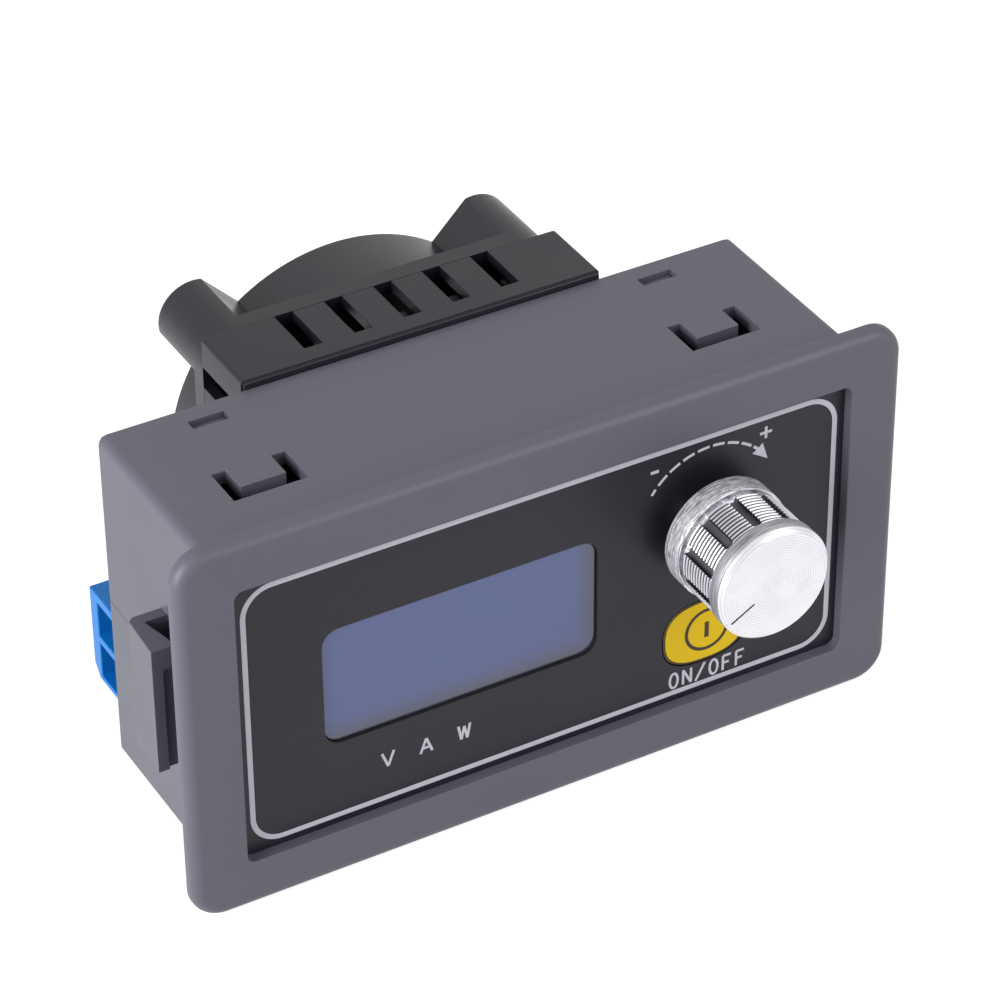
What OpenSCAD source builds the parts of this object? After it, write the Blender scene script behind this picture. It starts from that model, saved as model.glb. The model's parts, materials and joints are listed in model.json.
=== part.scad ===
// Panel-mounting dc electronic load. A moulded case with a bezel carries the display board
// in front and the power board behind. The heatsink, its duct and the fan stand on the rear cover.
// Frame: X to the right, Y to the back, Z up. The origin is the centre of the plane
// where the back of the bezel rests on a panel.

/* [Bezel and case] */
// Width of the bezel flange
bezel_w = 79; // [77:0.5:84]
// Height of the bezel flange
bezel_h = 43; // [41.5:0.5:48]
// Thickness of the bezel flange
bezel_t = 1.8; // [1.6:0.1:2.4]
// Corner radius of the bezel outline
bezel_corner_r = 3.5; // [2.5:0.1:4.5]
// Rounding of the front outer edge of the bezel
bezel_edge_r = 1.2; // [0.6:0.1:1.4]
// Width of the bezel's lip over the cavity at the left and right
lip_x = 0.15; // [0.1:0.05:0.8]
// Width of the bezel's lip over the cavity at the top and bottom
lip_z = 1.5; // [1:0.1:2]
// Corner radius of the opening
opening_r = 1.0; // [0.6:0.1:2]
// Depth from the bezel's front to the printed film
recess_d = 1.2; // [0.8:0.1:1.3]
// Width of the case body behind the bezel
body_w = 70.8; // [70:0.1:72]
// Height of the case body
body_h = 38.4; // [38:0.1:39.4]
// Depth of the case body behind the bezel
body_d = 23.2; // [22.6:0.1:26]
// Wall thickness of the case
wall = 1.6; // [1.4:0.1:1.7]
// Corner radius of the case body
body_r = 1.0; // [0.6:0.1:1.5]

/* [Spring tongues and clips] */
// Distance of a tongue's centre from the middle
tongue_x = 24.95; // [22:0.05:27]
// Width of a spring tongue
tongue_w = 4.8; // [4:0.1:6]
// Width of the slot round a tongue
tongue_slot = 1.5; // [1.2:0.1:1.8]
// Length of a tongue from its root to its free end
tongue_len = 3.15; // [2.8:0.05:3.6]
// Height of the barb under a tongue's free end
barb_h = 0.9; // [0.7:0.1:1.2]
// Distance of a lower snap window's centre from the middle
low_snap_x = 19.5; // [17:0.1:20.5]
// Width of a snap window for the rear cover
snap_w = 3.9; // [3.4:0.1:4.6]
// Length of a snap window along the depth
snap_len = 1.35; // [1.2:0.05:1.6]
// Height of a side panel clip
clip_h = 14.4; // [11:0.1:17]
// Thickness of a side panel clip
clip_t = 1.3; // [1.1:0.1:1.5]
// Thickness of a side panel clip's free end
clip_end_t = 2.4; // [1.8:0.1:2.6]
// Height of the solid block at the top of a clip's free end
clip_block_h = 2.5; // [1.5:0.1:4]
// Gap from the back of the bezel to a clip's free end
clip_gap = 4.8; // [4.2:0.1:5.6]
// Length of a clip's tongue
clip_len = 5.9; // [5:0.1:6.4]
// How far a clip stays inside the edge of the bezel
clip_inset = 0.1; // [0.1:0.1:0.8]

/* [Front] */
// Thickness of the printed film
film_t = 0.2; // [0.15:0.05:0.3]
// Thickness of the plate behind the film
panel_t = 1.0; // [0.8:0.1:1.2]
// Width of the display window
window_w = 30; // [26:0.1:32]
// Height of the display window
window_h = 13.6; // [12:0.1:16]
// Corner radius of the display window
window_r = 1.8; // [0.5:0.1:2.5]
// Sideways place of the display window's centre
window_x = -9.4; // [-11:0.1:-8]
// Height of the display window's centre
window_z = 0.43; // [-1:0.01:2]
// Thickness of the display glass
glass_t = 2.8; // [2:0.1:3.2]
// How far the display's face lies behind the film's face
window_drop = 0.35; // [0.25:0.05:0.6]
// Sideways place of the knob and the key
control_x = 18.1; // [16.6:0.1:19.5]
// Height of the knob's axis
knob_z = 4.9; // [4.4:0.1:6]
// Height of the key's centre
key_z = -8.5; // [-9.5:0.1:-8]
// Width of the oval key
key_w = 9.7; // [9:0.1:11]
// Height of the oval key
key_h = 7.5; // [6.6:0.1:7.8]
// Gap round the key
key_gap = 0.15; // [0.1:0.05:0.25]
// Travel of the key
key_travel = 0.25; // [0.15:0.05:0.4]
// Distance from the front plate to the display board
board_gap = 7.2; // [7:0.1:8]
// Thickness of the display board
disp_t = 1.2; // [1:0.1:1.6]

/* [Encoder and knob] */
// Radius of the encoder shaft
shaft_r = 3; // [2.6:0.1:3.2]
// Radius of the encoder's bushing
bushing_r = 3.5; // [3.5:0.1:4]
// Height of the encoder's body over the board
encoder_d = 6.5; // [6:0.1:6.8]
// Travel of the knob when it is pushed
push_travel = 0.5; // [0.3:0.1:0.6]
// Gap between the film and the knob
knob_gap = 2.0; // [1.4:0.1:2.6]
// Radius of the knob's skirt and front ring
knob_r = 6.25; // [6:0.05:7]
// Length of the knob
knob_len = 10.3; // [9.8:0.1:12]
// Length of the plain skirt at the knob's base
skirt_len = 2.6; // [2:0.1:3.2]
// Length of the polished ring at the knob's front
ring_len = 2.2; // [1.6:0.1:2.6]
// Number of notches round the grip
notch_n = 11; // [8:1:14]
// Width of a notch
notch_w = 0.9; // [0.6:0.1:1.2]
// Number of fine ridges round the grip
ridge_n = 11; // [6:1:14]

/* [Rear boards and cover] */
// Thickness of the rear cover
cover_t = 1.8; // [1.6:0.1:2.2]
// Height of the cover's board posts
post_h = 1.0; // [0.8:0.1:1.2]
// Thickness of the power board
main_t = 1.4; // [1.2:0.1:1.6]
// Width of the power transistor
mosfet_w = 15.9; // [14:0.1:16.5]
// Height of the power transistor
mosfet_h = 20.9; // [18:0.1:21]
// Thickness of the power transistor
mosfet_t = 4.6; // [4.4:0.1:5]

/* [Heatsink, duct and fan] */
// Side of the square fan
fan_size = 40; // [40:0.5:42]
// Distance of the fan's screw holes from its edges
fan_hole_edge = 4; // [3.5:0.1:4.2]
// Thickness of the fan
fan_t = 10; // [10:0.1:12]
// Width of a fan corner between its two flat sides
fan_corner_w = 6.8; // [6.6:0.1:7]
// Length of the duct between the case and the fan
duct_d = 9; // [8.6:0.1:12]
// Wall of the duct
duct_wall = 1.2; // [1.2:0.1:1.8]
// Width of a duct slot
duct_slot = 2.0; // [1.6:0.1:2.4]
// Pitch of the duct's top slots
slot_pitch = 5.5; // [4.8:0.1:5.6]
// Length of the duct's slots
slot_len = 6.5; // [5:0.1:7]
// Thickness of the heatsink's base
base_t = 2.2; // [2:0.1:2.8]
// Height of the heatsink's fins
fin_h = 3.2; // [2:0.1:3.6]
// Number of heatsink fins
fin_n = 9; // [5:2:9]
// Wall of the fan's round duct
fan_wall = 1.3; // [1.2:0.1:1.6]
// Radius of the impeller's hub
hub_r = 10.6; // [10:0.1:11.2]
// Number of impeller blades
blade_n = 7; // [5:1:9]
// Radius of the fan's shaft
fan_shaft_r = 1.0; // [0.8:0.1:1.2]
// Radius of the fan screws
fan_screw_r = 1.5; // [1.4:0.05:1.5]

/* [Terminal and jack] */
// Distance between the terminal's two ways
term_pitch = 5.08; // [5:0.01:5.6]
// Height of a wire opening
cell_w = 4.2; // [3.8:0.1:4.3]
// How far the wire openings stand below the block's middle
cell_drop = 0.2; // [0:0.1:0.4]
// Depth of the terminal block in the wire's direction
term_w = 10.4; // [9.6:0.1:11]
// Height of the terminal block over its board
term_h = 13.2; // [12.8:0.1:15]
// Distance from the terminal block to the cover's lower edge
term_drop = 0.5; // [0.4:0.1:3.5]
// Radius of a terminal screw's thread
term_screw_r = 1.25; // [1.1:0.05:1.4]
// Travel of a rising clamp
cage_travel = 1.5; // [1:0.1:1.6]
// Side of the jack's square body
jack_w = 9; // [8.6:0.1:10]
// Height of the jack over its board
jack_h = 11; // [10:0.1:13]
// Radius of the jack's socket
jack_bore_r = 3.15; // [3:0.05:3.3]
// Radius of the jack's centre contact
jack_pin_r = 1.0; // [0.8:0.05:1.2]
// Height of the jack's centre
jack_z = -8; // [-10:0.1:4]

/* [Fits] */
// Gap between a fitted piece and the case's inner walls
fit = 0.2; // [0.15:0.05:0.3]
// Radial clearance of turning and sliding fits
run = 0.05; // [0.03:0.01:0.08]
// Radial clearance of a screw in a plain hole
screw_gap = 0.2; // [0.1:0.05:0.3]

/* [Hidden] */
$fn = 48;
// Small overlap that lets joined shapes of one piece fuse
fuse = 0.3;
// Extra length of a cutter past the face that it opens
past = 1;

// Inside of the case
cav_w = body_w - 2 * wall;
cav_h = body_h - 2 * wall;
cav_r = 0.8;
opening_w = cav_w - 2 * lip_x;
opening_h = cav_h - 2 * lip_z;

// Places along the depth, from the front to the back
film_y = -bezel_t + recess_d;
panel_y = film_y + film_t;
glass_y = panel_y + panel_t;
light_y = glass_y + glass_t;
disp_y = glass_y + board_gap;
disp_back_y = disp_y + disp_t;
cover_y = body_d - cover_t;
main_back_y = cover_y - post_h;
main_y = main_back_y - main_t;
fin_y = body_d + base_t;
fan_y = body_d + duct_d;
fan_back_y = fan_y + fan_t;

// Boards and fitted plates
board_w = cav_w - 4 * fit;
board_h = cav_h - 4 * fit;
plate_w = cav_w - 2 * fit;
plate_h = cav_h - 2 * fit;
panel_post_x = plate_w / 2 - 3.2;
panel_post_z = plate_h / 2 - 3.2;
cover_post_x = board_w / 2 - 1.6;
cover_post_z = 1.5;

// Spring tongues: the free end stops just behind the display board
tongue_end_y = disp_back_y + 0.1;
tongue_root_y = tongue_end_y + tongue_len;
snap_back_y = cover_y - 0.25;
snap_y = snap_back_y - snap_len;

// Side clips, with their window through the side wall
clip_x = bezel_w / 2 - clip_inset;
clip_back_y = clip_gap + clip_len;
clip_lean = 0.3;
clip_step = 0.4;
clip_window_y = 2.2;
clip_window_h = clip_h - 1.2;

// Oval key and its switch
key_power = 2.65;
key_rim = 0.7;
key_rim_y = glass_y + run;
key_rim_t = 0.8;
switch_w = 6.2;
switch_y = disp_y - 3.6;
plunger_r = 1.75;
plunger_y = key_rim_y + key_rim_t;
plunger_back_y = switch_y + 2;

// Encoder
encoder_y = disp_y - encoder_d;
encoder_w = 11.8;
encoder_h = 12.4;
encoder_bore_r = shaft_r + 1.6;
encoder_bore_y = encoder_y + 1.5;
encoder_bore_back_y = disp_y - 0.4;
bushing_y = encoder_y - 4.5;
bushing_hole_r = bushing_r + screw_gap;
pusher_t = 0.4;
pusher_y = encoder_bore_back_y - pusher_t - push_travel - 0.1;
collar_y = encoder_bore_y + 0.7;
collar_t = 1.6;

// Knob
knob_y = film_y - knob_gap;
knob_front_y = knob_y - knob_len;
insert_r = 4.4;
insert_back_y = min(bushing_y, knob_y) - push_travel - 0.4;
insert_front_y = knob_front_y + 2;
shaft_front_y = insert_front_y + 0.3;
flat_x = shaft_r * 0.5;
groove_y = knob_y - skirt_len;
grip_y = groove_y - 0.4;
ring_y = knob_front_y + ring_len;
grip_r = knob_r - 0.3;
ridge_d = 0.2;
notch_d = 0.6;
notch_turn = 97;
knob_chamfer = 0.5;

// Power transistor and its screw
mosfet_y = body_d - mosfet_t;
mosfet_z = 2.4;
mosfet_hole_z = mosfet_z + mosfet_h / 2 - 5;
lead_pitch = 5.45;
lead_len = 4;
bay_w = mosfet_w + 1.4;

// Parts on the boards
chip_h = 1;
choke_h = 1.2;
chip_w = 7;
choke_w = 5;
header_w = 20.4;
header_h = 2.5;
header_play = 0.15;
header_inset = 2.6;
shunt_x0 = -28;
shunt_x1 = -15;
shunt_z = 10;
shunt_w = 3;
shunt_h = 4.5;
shunt_t = 0.9;
capacitor_r = 4;
capacitor_h = 8;
capacitor_x = 25.5;
capacitor_z = -8;

// Heatsink and its screws
fan_pitch = fan_size - 2 * fan_hole_edge;
sink_w = fan_size - 2 * (duct_wall + fit);
sink_screw_r = 1.25;
sink_screw_head_r = 2.2;
sink_screw_head_t = 1.4;
sink_screw_cross = 2.4;
sink_screw_x = fan_pitch / 2 - 1.6;
sink_screw_z = fan_pitch / 2 - 5;
fin_w = 1.0;
fin_gap = 0.9;
duct_post_r = 2.6;
fin_pitch = (fan_pitch - 2 * (duct_post_r + fin_gap) - fin_w) / (fin_n - 1);

// Fan
fan_hole_r = fan_screw_r + screw_gap;
screw_head_r = 2.75;
screw_head_t = 1.9;
screw_cross = 3;
sink_depth = 1.4;
fan_plate_t = 2;
fan_ring_r = fan_size / 2 - 0.1;
fan_ring_end_r = fan_ring_r - 0.45;
fan_bore_r = fan_ring_r - fan_wall;
fan_corner_r = fan_hole_edge;
fan_corner_turn = asin(fan_corner_w / 2 / fan_corner_r);
fan_corner_flank = (fan_corner_turn + 45) / 2;
fan_corner_turns = concat([-fan_corner_turn, -fan_corner_flank], [for (i = [0 : 18]) 5 * i - 45],
    [fan_corner_flank, fan_corner_turn]);
fan_corner = concat([for (a = fan_corner_turns)
    [fan_pitch / sqrt(2) + fan_corner_r * cos(a), fan_corner_r * sin(a)]],
    [[fan_bore_r + 0.5, fan_corner_w / 2], [fan_bore_r + 0.5, -fan_corner_w / 2]]);
motor_plate_t = 1.2;
motor_plate_r = hub_r;
sleeve_r = fan_shaft_r + 1;
sleeve_tube_r = sleeve_r + 1;
sleeve_y = fan_y + motor_plate_t + 0.3;
sleeve_back_y = fan_y + 6.4;
hub_y = fan_y + 1.9;
hub_back_y = fan_back_y - 0.7;
hub_wall = 1;
hub_top = 1.2;
magnet_r = hub_r - hub_wall - 0.03;
magnet_t = 0.7;
stator_r = magnet_r - magnet_t - 0.35;
stator_y = fan_y + 2.3;
stator_back_y = sleeve_back_y - 0.4;
blade_tip_r = fan_bore_r - 0.6;
blade_y = fan_y + 2.2;
blade_d = hub_back_y - 0.4 - blade_y;

// Terminal block: it stands on the power board against the left wall
term_x0 = -cav_w / 2 + 3 * fit;
term_x1 = term_x0 + term_w;
term_len = 2 * term_pitch + 0.78;
term_z0 = term_drop - plate_h / 2;
term_z1 = term_z0 + term_len;
term_z = (term_z0 + term_z1) / 2 - cell_drop;
term_back_y = main_back_y + term_h;
term_roof = 1.7;
cell_y = main_back_y + 3.8;
cell_back_y = term_back_y - term_roof;
cell_depth = term_w - 1.4;
term_screw_x = term_x0 + 4.9;
term_head_r = term_screw_r + 0.45;
term_head_t = 1.2;
cage_w = cell_w - 0.3;
cage_len = 4.6;
cage_top = 1;
cage_back_y = cell_back_y - cage_travel - 0.15;
cage_y = cell_y + 0.2;
cage_side = 0.4;
cage_floor = 0.9;
strip_t = 0.6;
strip_back_y = cage_back_y - cage_top - 0.4;
strip_x0 = term_x0 + 1.6;
strip_x1 = term_x0 + 8.2;
strip_w = 1.8;

// Jack: it stands on the power board at the right
jack_x = cav_w / 2 - jack_w / 2 - 1.4;
jack_back_y = main_back_y + jack_h;
jack_floor_y = main_back_y + 1.5;

// Points of an arc
function arc_points(cx, cy, r, a0, a1, n) =
    [for (i = [0 : n]) let (a = a0 + (a1 - a0) * i / n) [cx + r * cos(a), cy + r * sin(a)]];

// Outline of a rectangle with round corners
function round_rect(w, h, r, n = 5) = concat(
    arc_points(w / 2 - r, h / 2 - r, r, 0, 90, n),
    arc_points(-w / 2 + r, h / 2 - r, r, 90, 180, n),
    arc_points(-w / 2 + r, -h / 2 + r, r, 180, 270, n),
    arc_points(w / 2 - r, -h / 2 + r, r, 270, 360, n));

// Outline of the oval key, a little fuller than an ellipse
function oval(w, h, n = 48) = [for (i = [0 : n - 1]) let (a = 360 * i / n, c = cos(a), s = sin(a))
    [w / 2 * sign(c) * pow(abs(c), 2 / key_power), h / 2 * sign(s) * pow(abs(s), 2 / key_power)]];

// A flat shape in X and Z, drawn out along the depth from y0 to y1
module along_y(y0, y1) {
    translate([0, y1, 0]) rotate([90, 0, 0]) linear_extrude(y1 - y0) children();
}

// A flat shape in Y and Z, drawn out along the width from x0 to x1
module along_x(x0, x1) {
    translate([x0, 0, 0]) rotate([90, 0, 90]) linear_extrude(x1 - x0) children();
}

// A box between two corners
module block(x0, x1, y0, y1, z0, z1) {
    translate([x0, y0, z0]) cube([x1 - x0, y1 - y0, z1 - z0]);
}

// A rod along the depth, round or tapered
module rod(r, y0, y1, x = 0, z = 0, end_r = undef) {
    translate([x, y0, z]) rotate([-90, 0, 0])
        cylinder(r1 = r, r2 = is_undef(end_r) ? r : end_r, h = y1 - y0);
}

// A turned shape about an axis along the depth, from points of radius and depth
module turned(points) {
    rotate([-90, 0, 0]) rotate_extrude() polygon(points);
}

// Four copies, mirrored to both sides and to top and bottom
module four_ways() {
    for (mx = [0, 1], mz = [0, 1]) mirror([mx, 0, 0]) mirror([0, 0, mz]) children();
}

// A cross recess in a screw head whose face is at y
module cross_recess(size, y, x = 0, z = 0) {
    for (turn = [0, 90]) translate([x, y, z]) rotate([0, turn, 0])
        cube([size, 1.2, size / 5], center = true);
}

// A plate with round corners whose front outer edge is rounded
module edge_plate(w, h, t, corner, edge) {
    iw = w / 2 - corner;
    ih = h / 2 - corner;
    side = concat([[0, 0], [corner, 0]],
        [for (p = arc_points(corner - edge, t - edge, edge, 0, 90, 6)) [p[0], -p[1]]], [[0, -t]]);
    block(-iw, iw, -t, 0, -ih, ih);
    for (m = [0, 1]) {
        mirror([m, 0, 0]) translate([iw, 0, -ih]) linear_extrude(2 * ih) polygon(side);
        mirror([0, 0, m]) translate([iw, 0, ih]) rotate([0, -90, 0]) linear_extrude(2 * iw) polygon(side);
    }
    four_ways() translate([iw, 0, -ih]) rotate([-90, 0, 0]) rotate_extrude(angle = 90) polygon(side);
}

// Copies at the four snaps of the rear cover, of which the lower ones stand closer together
module at_snaps() {
    for (m = [0, 1]) mirror([m, 0, 0]) {
        translate([tongue_x, 0, 0]) children();
        mirror([0, 0, 1]) translate([low_snap_x, 0, 0]) children();
    }
}

// The slot that frees a spring tongue in the top wall
module tongue_cut() {
    outer = tongue_w / 2 + tongue_slot;
    inner = tongue_w / 2;
    front = tongue_end_y - tongue_slot - 0.2;
    translate([tongue_x, 0, cav_h / 2 - past]) linear_extrude(wall + 2 * past) polygon([
        [-outer, front], [outer, front], [outer, tongue_root_y], [inner, tongue_root_y],
        [inner, tongue_end_y], [-inner, tongue_end_y], [-inner, tongue_root_y], [-outer, tongue_root_y]]);
}

// The barb under a tongue's free end, which holds the display board
module tongue_barb() {
    z = cav_h / 2;
    along_x(tongue_x - tongue_w / 2 + 0.6, tongue_x + tongue_w / 2 - 0.6) polygon([
        [tongue_end_y, z + fuse], [tongue_end_y, z - barb_h], [tongue_end_y + 0.3, z - barb_h],
        [tongue_root_y - 0.6, z + fuse]]);
}

// A hooked panel clip on the right side wall, whose thick free end is stepped below a solid block
module panel_clip() {
    tip = clip_x;
    end = clip_x - clip_end_t;
    difference() {
        translate([0, 0, -clip_h / 2]) linear_extrude(clip_h) polygon([
            [body_w / 2 - fuse, clip_back_y], [body_w / 2 - fuse, clip_back_y - clip_t],
            [tip - clip_t - clip_lean, clip_back_y - clip_t], [end, clip_gap + 3 * clip_step],
            [end, clip_gap], [tip, clip_gap], [tip - clip_lean, clip_back_y - 0.5],
            [tip - clip_lean - 0.5, clip_back_y]]);
        block(end - past, tip - clip_end_t / 2, clip_gap - past, clip_gap + clip_step,
            -clip_h / 2 - past, clip_h / 2 - clip_block_h);
    }
}

// A rib on the side wall that the power board rests on
module board_rib() {
    block(board_w / 2 - 1.4, cav_w / 2 + fuse, main_y - 5, main_y, 6, 7.6);
}

module case() {
    color("#6a6973") {
        difference() {
            union() {
                edge_plate(bezel_w, bezel_h, bezel_t, bezel_corner_r, bezel_edge_r);
                along_y(-bezel_t / 2, body_d) polygon(round_rect(body_w, body_h, body_r));
            }
            along_y(-bezel_t - past, body_d - past) polygon(round_rect(opening_w, opening_h, opening_r));
            along_y(panel_y, body_d + past) polygon(round_rect(cav_w, cav_h, cav_r));
            four_ways() tongue_cut();
            at_snaps() block(-snap_w / 2, snap_w / 2, snap_y, snap_back_y, cav_h / 2 - past, body_h / 2 + past);
            for (m = [0, 1]) mirror([m, 0, 0])
                block(cav_w / 2 - past, body_w / 2 + past, clip_window_y, clip_back_y - clip_t,
                    -clip_window_h / 2, clip_window_h / 2);
        }
        four_ways() {
            tongue_barb();
            board_rib();
        }
        for (m = [0, 1]) mirror([m, 0, 0]) panel_clip();
    }
}

// A hook of the rear cover that snaps into a window of the case
module cover_hook() {
    half = snap_w / 2 - 0.15;
    arm_z = plate_h / 2;
    along_x(-half, half) polygon([
        [cover_y + fuse, arm_z - 1.1], [snap_y + 0.1, arm_z - 1.1], [snap_y + 0.1, arm_z],
        [snap_back_y - 0.3, cav_h / 2 + 0.9], [snap_back_y - 0.05, cav_h / 2 + 0.9],
        [snap_back_y - 0.05, arm_z], [cover_y + fuse, arm_z]]);
}

module rear_cover() {
    color("#5f5e67") {
        difference() {
            along_y(cover_y, body_d) polygon(round_rect(plate_w, plate_h, 0.6));
            block(-bay_w / 2, bay_w / 2, cover_y - past, body_d + past,
                mosfet_z - mosfet_h / 2 - lead_len - 0.7, mosfet_z + mosfet_h / 2 + 0.7);
            block(-cav_w / 2 - past, term_x1 + 0.3, cover_y - past, body_d + past, -body_h / 2, term_z1 + 0.3);
            block(jack_x - jack_w / 2 - 0.3, jack_x + jack_w / 2 + 0.3, cover_y - past, body_d + past,
                jack_z - jack_w / 2 - 0.3, jack_z + jack_w / 2 + 0.3);
            four_ways() rod(sink_screw_r + screw_gap, cover_y - past, body_d + past,
                sink_screw_x, sink_screw_z);
        }
        at_snaps() cover_hook();
        for (s = [-1, 1]) rod(1.3, main_back_y, cover_y + fuse, s * cover_post_x, cover_post_z);
        for (s = [-1, 1]) rod(1.3, main_back_y, cover_y + fuse, s * cover_post_x, plate_h / 2 - 3);
    }
}

module front_panel() {
    color("#2b2b2f") {
        along_y(panel_y, glass_y) difference() {
            polygon(round_rect(plate_w, plate_h, 0.6));
            translate([window_x, window_z]) polygon(round_rect(window_w, window_h, window_r));
            translate([control_x, key_z]) polygon(oval(key_w + 2 * key_gap, key_h + 2 * key_gap));
            translate([control_x, knob_z]) circle(r = bushing_hole_r);
        }
        four_ways() rod(1.6, glass_y - fuse, disp_y, panel_post_x, panel_post_z);
    }
}

module overlay_film() {
    color("#3d3c42") along_y(film_y, panel_y) difference() {
        polygon(round_rect(opening_w - 2 * run, opening_h - 2 * run, opening_r));
        translate([window_x, window_z]) polygon(round_rect(window_w, window_h, window_r));
        translate([control_x, key_z]) polygon(oval(key_w + 2 * key_gap, key_h + 2 * key_gap));
        translate([control_x, knob_z]) circle(r = bushing_hole_r);
    }
}

module on_off_key() {
    color("#e5c914") translate([control_x, 0, key_z]) {
        along_y(film_y, key_rim_y + fuse) polygon(oval(key_w, key_h));
        along_y(key_rim_y, plunger_y) polygon(oval(key_w + 2 * key_rim, key_h + 2 * key_rim));
    }
}

module switch_body() {
    color("#242427") difference() {
        block(control_x - switch_w / 2, control_x + switch_w / 2, switch_y, disp_y,
            key_z - switch_w / 2, key_z + switch_w / 2);
        rod(plunger_r + run, switch_y - past, plunger_back_y + key_travel + 0.3, control_x, key_z);
    }
}

module switch_plunger() {
    color("#f0efe8") rod(plunger_r, plunger_y, plunger_back_y, control_x, key_z);
}

module lcd_glass() {
    color("#67709a") {
        block(window_x - window_w / 2 - 2, window_x + window_w / 2 + 2, glass_y, light_y,
            window_z - window_h / 2 - 1.6, window_z + window_h / 2 + 1.6);
        translate([window_x, 0, window_z]) along_y(film_y + window_drop, glass_y + fuse)
            polygon(round_rect(window_w - 2 * run, window_h - 2 * run, window_r - run));
    }
}

module lcd_backlight() {
    color("#e8e9ee") difference() {
        block(window_x - window_w / 2 - 2.8, window_x + window_w / 2 + 2.8, light_y, disp_y,
            window_z - window_h / 2 - 2.4, window_z + window_h / 2 + 2.4);
        for (s = [-1, 1]) block(window_x - window_w / 2, window_x + window_w / 2, disp_y - 1.2, disp_y + past,
            window_z + s * window_h / 4 - 2, window_z + s * window_h / 4 + 2);
    }
}

// A square component that stands on a board
module board_part(w, y0, y1) {
    block(-w / 2, w / 2, y0, y1, -w / 2, w / 2);
}

module display_board() {
    color("#1d4f34") {
        along_y(disp_y, disp_back_y) polygon(round_rect(board_w, board_h, 0.6));
        translate([-1.5 * chip_w, 0, chip_w / 2])
            board_part(chip_w, disp_back_y - fuse, disp_back_y + chip_h);
        translate([3 * choke_w, 0, -choke_w / 2])
            board_part(choke_w, disp_back_y - fuse, disp_back_y + choke_h);
    }
}

module encoder_body() {
    color("#8d8f94") translate([control_x, 0, knob_z]) difference() {
        union() {
            block(-encoder_w / 2, encoder_w / 2, encoder_y, disp_y, -encoder_h / 2, encoder_h / 2);
            rod(bushing_r, bushing_y, encoder_y + fuse);
        }
        rod(shaft_r + run, bushing_y - past, encoder_bore_y + past);
        rod(encoder_bore_r, encoder_bore_y, encoder_bore_back_y);
    }
}

module encoder_plunger() {
    color("#e9e4d6") rod(encoder_bore_r - run, pusher_y, pusher_y + pusher_t, control_x, knob_z);
}

module encoder_shaft() {
    color("#b9bbc0") translate([control_x, 0, knob_z]) difference() {
        turned([[0, shaft_front_y], [shaft_r - 0.4, shaft_front_y], [shaft_r, shaft_front_y + 0.4],
            [shaft_r, collar_y], [encoder_bore_r - 0.3, collar_y], [encoder_bore_r - 0.3, collar_y + collar_t],
            [shaft_r, collar_y + collar_t], [shaft_r, pusher_y], [0, pusher_y]]);
        block(flat_x, shaft_r + past, shaft_front_y - past, insert_back_y, -shaft_r - past, shaft_r + past);
    }
}

module knob_insert() {
    color("#1c1c1e") translate([control_x, 0, knob_z]) along_y(insert_front_y, insert_back_y) difference() {
        circle(r = insert_r);
        intersection() {
            circle(r = shaft_r + run);
            translate([-insert_r, -insert_r]) square([insert_r + flat_x + run, 2 * insert_r]);
        }
    }
}

module knob_cap() {
    pitch = (grip_y - ring_y) / ridge_n;
    ridges = [for (i = [0 : ridge_n - 1]) for (p = [[-ridge_d, 0.15], [0, 0.35], [0, 0.75], [-ridge_d, 0.95]])
        [grip_r + p[0], grip_y - pitch * (i + p[1])]];
    color("#c9cacd") translate([control_x, 0, knob_z]) difference() {
        turned(concat([[insert_r + 0.03, knob_y], [knob_r - 0.3, knob_y], [knob_r, knob_y - 0.3],
            [knob_r, groove_y], [grip_r - 0.4, groove_y], [grip_r - 0.4, grip_y]], ridges,
            [[grip_r - 0.4, ring_y], [knob_r, ring_y], [knob_r, knob_front_y + knob_chamfer],
            [knob_r - knob_chamfer, knob_front_y], [0, knob_front_y], [0, insert_front_y - 0.03],
            [insert_r + 0.03, insert_front_y - 0.03]]));
        for (i = [0 : notch_n - 1]) rotate([0, -notch_turn - i * 360 / notch_n, 0])
            block(grip_r - notch_d, knob_r + past, ring_y + 0.2, grip_y + 0.2, -notch_w / 2, notch_w / 2);
        rotate([0, 150, 0]) block(2.8, knob_r + past, knob_front_y - past, knob_front_y + 0.15, -0.1, 0.1);
    }
}

module main_board() {
    color("#1d4f34") {
        difference() {
            along_y(main_y, main_back_y) polygon(round_rect(board_w, board_h, 0.6));
            block(-bay_w / 2, bay_w / 2, main_y - past, main_back_y + past,
                mosfet_z - mosfet_h / 2 - 0.3, mosfet_z + mosfet_h / 2 + 0.5);
            at_snaps() block(-snap_w / 2 - 0.3, snap_w / 2 + 0.3, main_y - past, main_back_y + past,
                plate_h / 2 - 1.6, cav_h / 2);
            four_ways() rod(sink_screw_head_r + screw_gap, main_y - past, main_back_y + past,
                sink_screw_x, sink_screw_z);
        }
        translate([-3 * chip_w, 0, -chip_w / 2]) board_part(chip_w, main_y - chip_h, main_y + fuse);
        translate([4.4 * choke_w, 0, choke_w]) board_part(choke_w, main_y - choke_h, main_y + fuse);
    }
}

module board_header() {
    half = header_w / 2;
    plug = header_w / 2 + header_play;
    foot_y = disp_back_y + header_h;
    deep = header_h / 2;
    color("#1a1a1c") translate([0, 0, header_inset - board_h / 2]) {
        block(-half, half, disp_back_y, foot_y, -deep, deep);
        block(-plug, plug, foot_y, main_y, header_play - deep, deep - header_play);
    }
}

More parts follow.
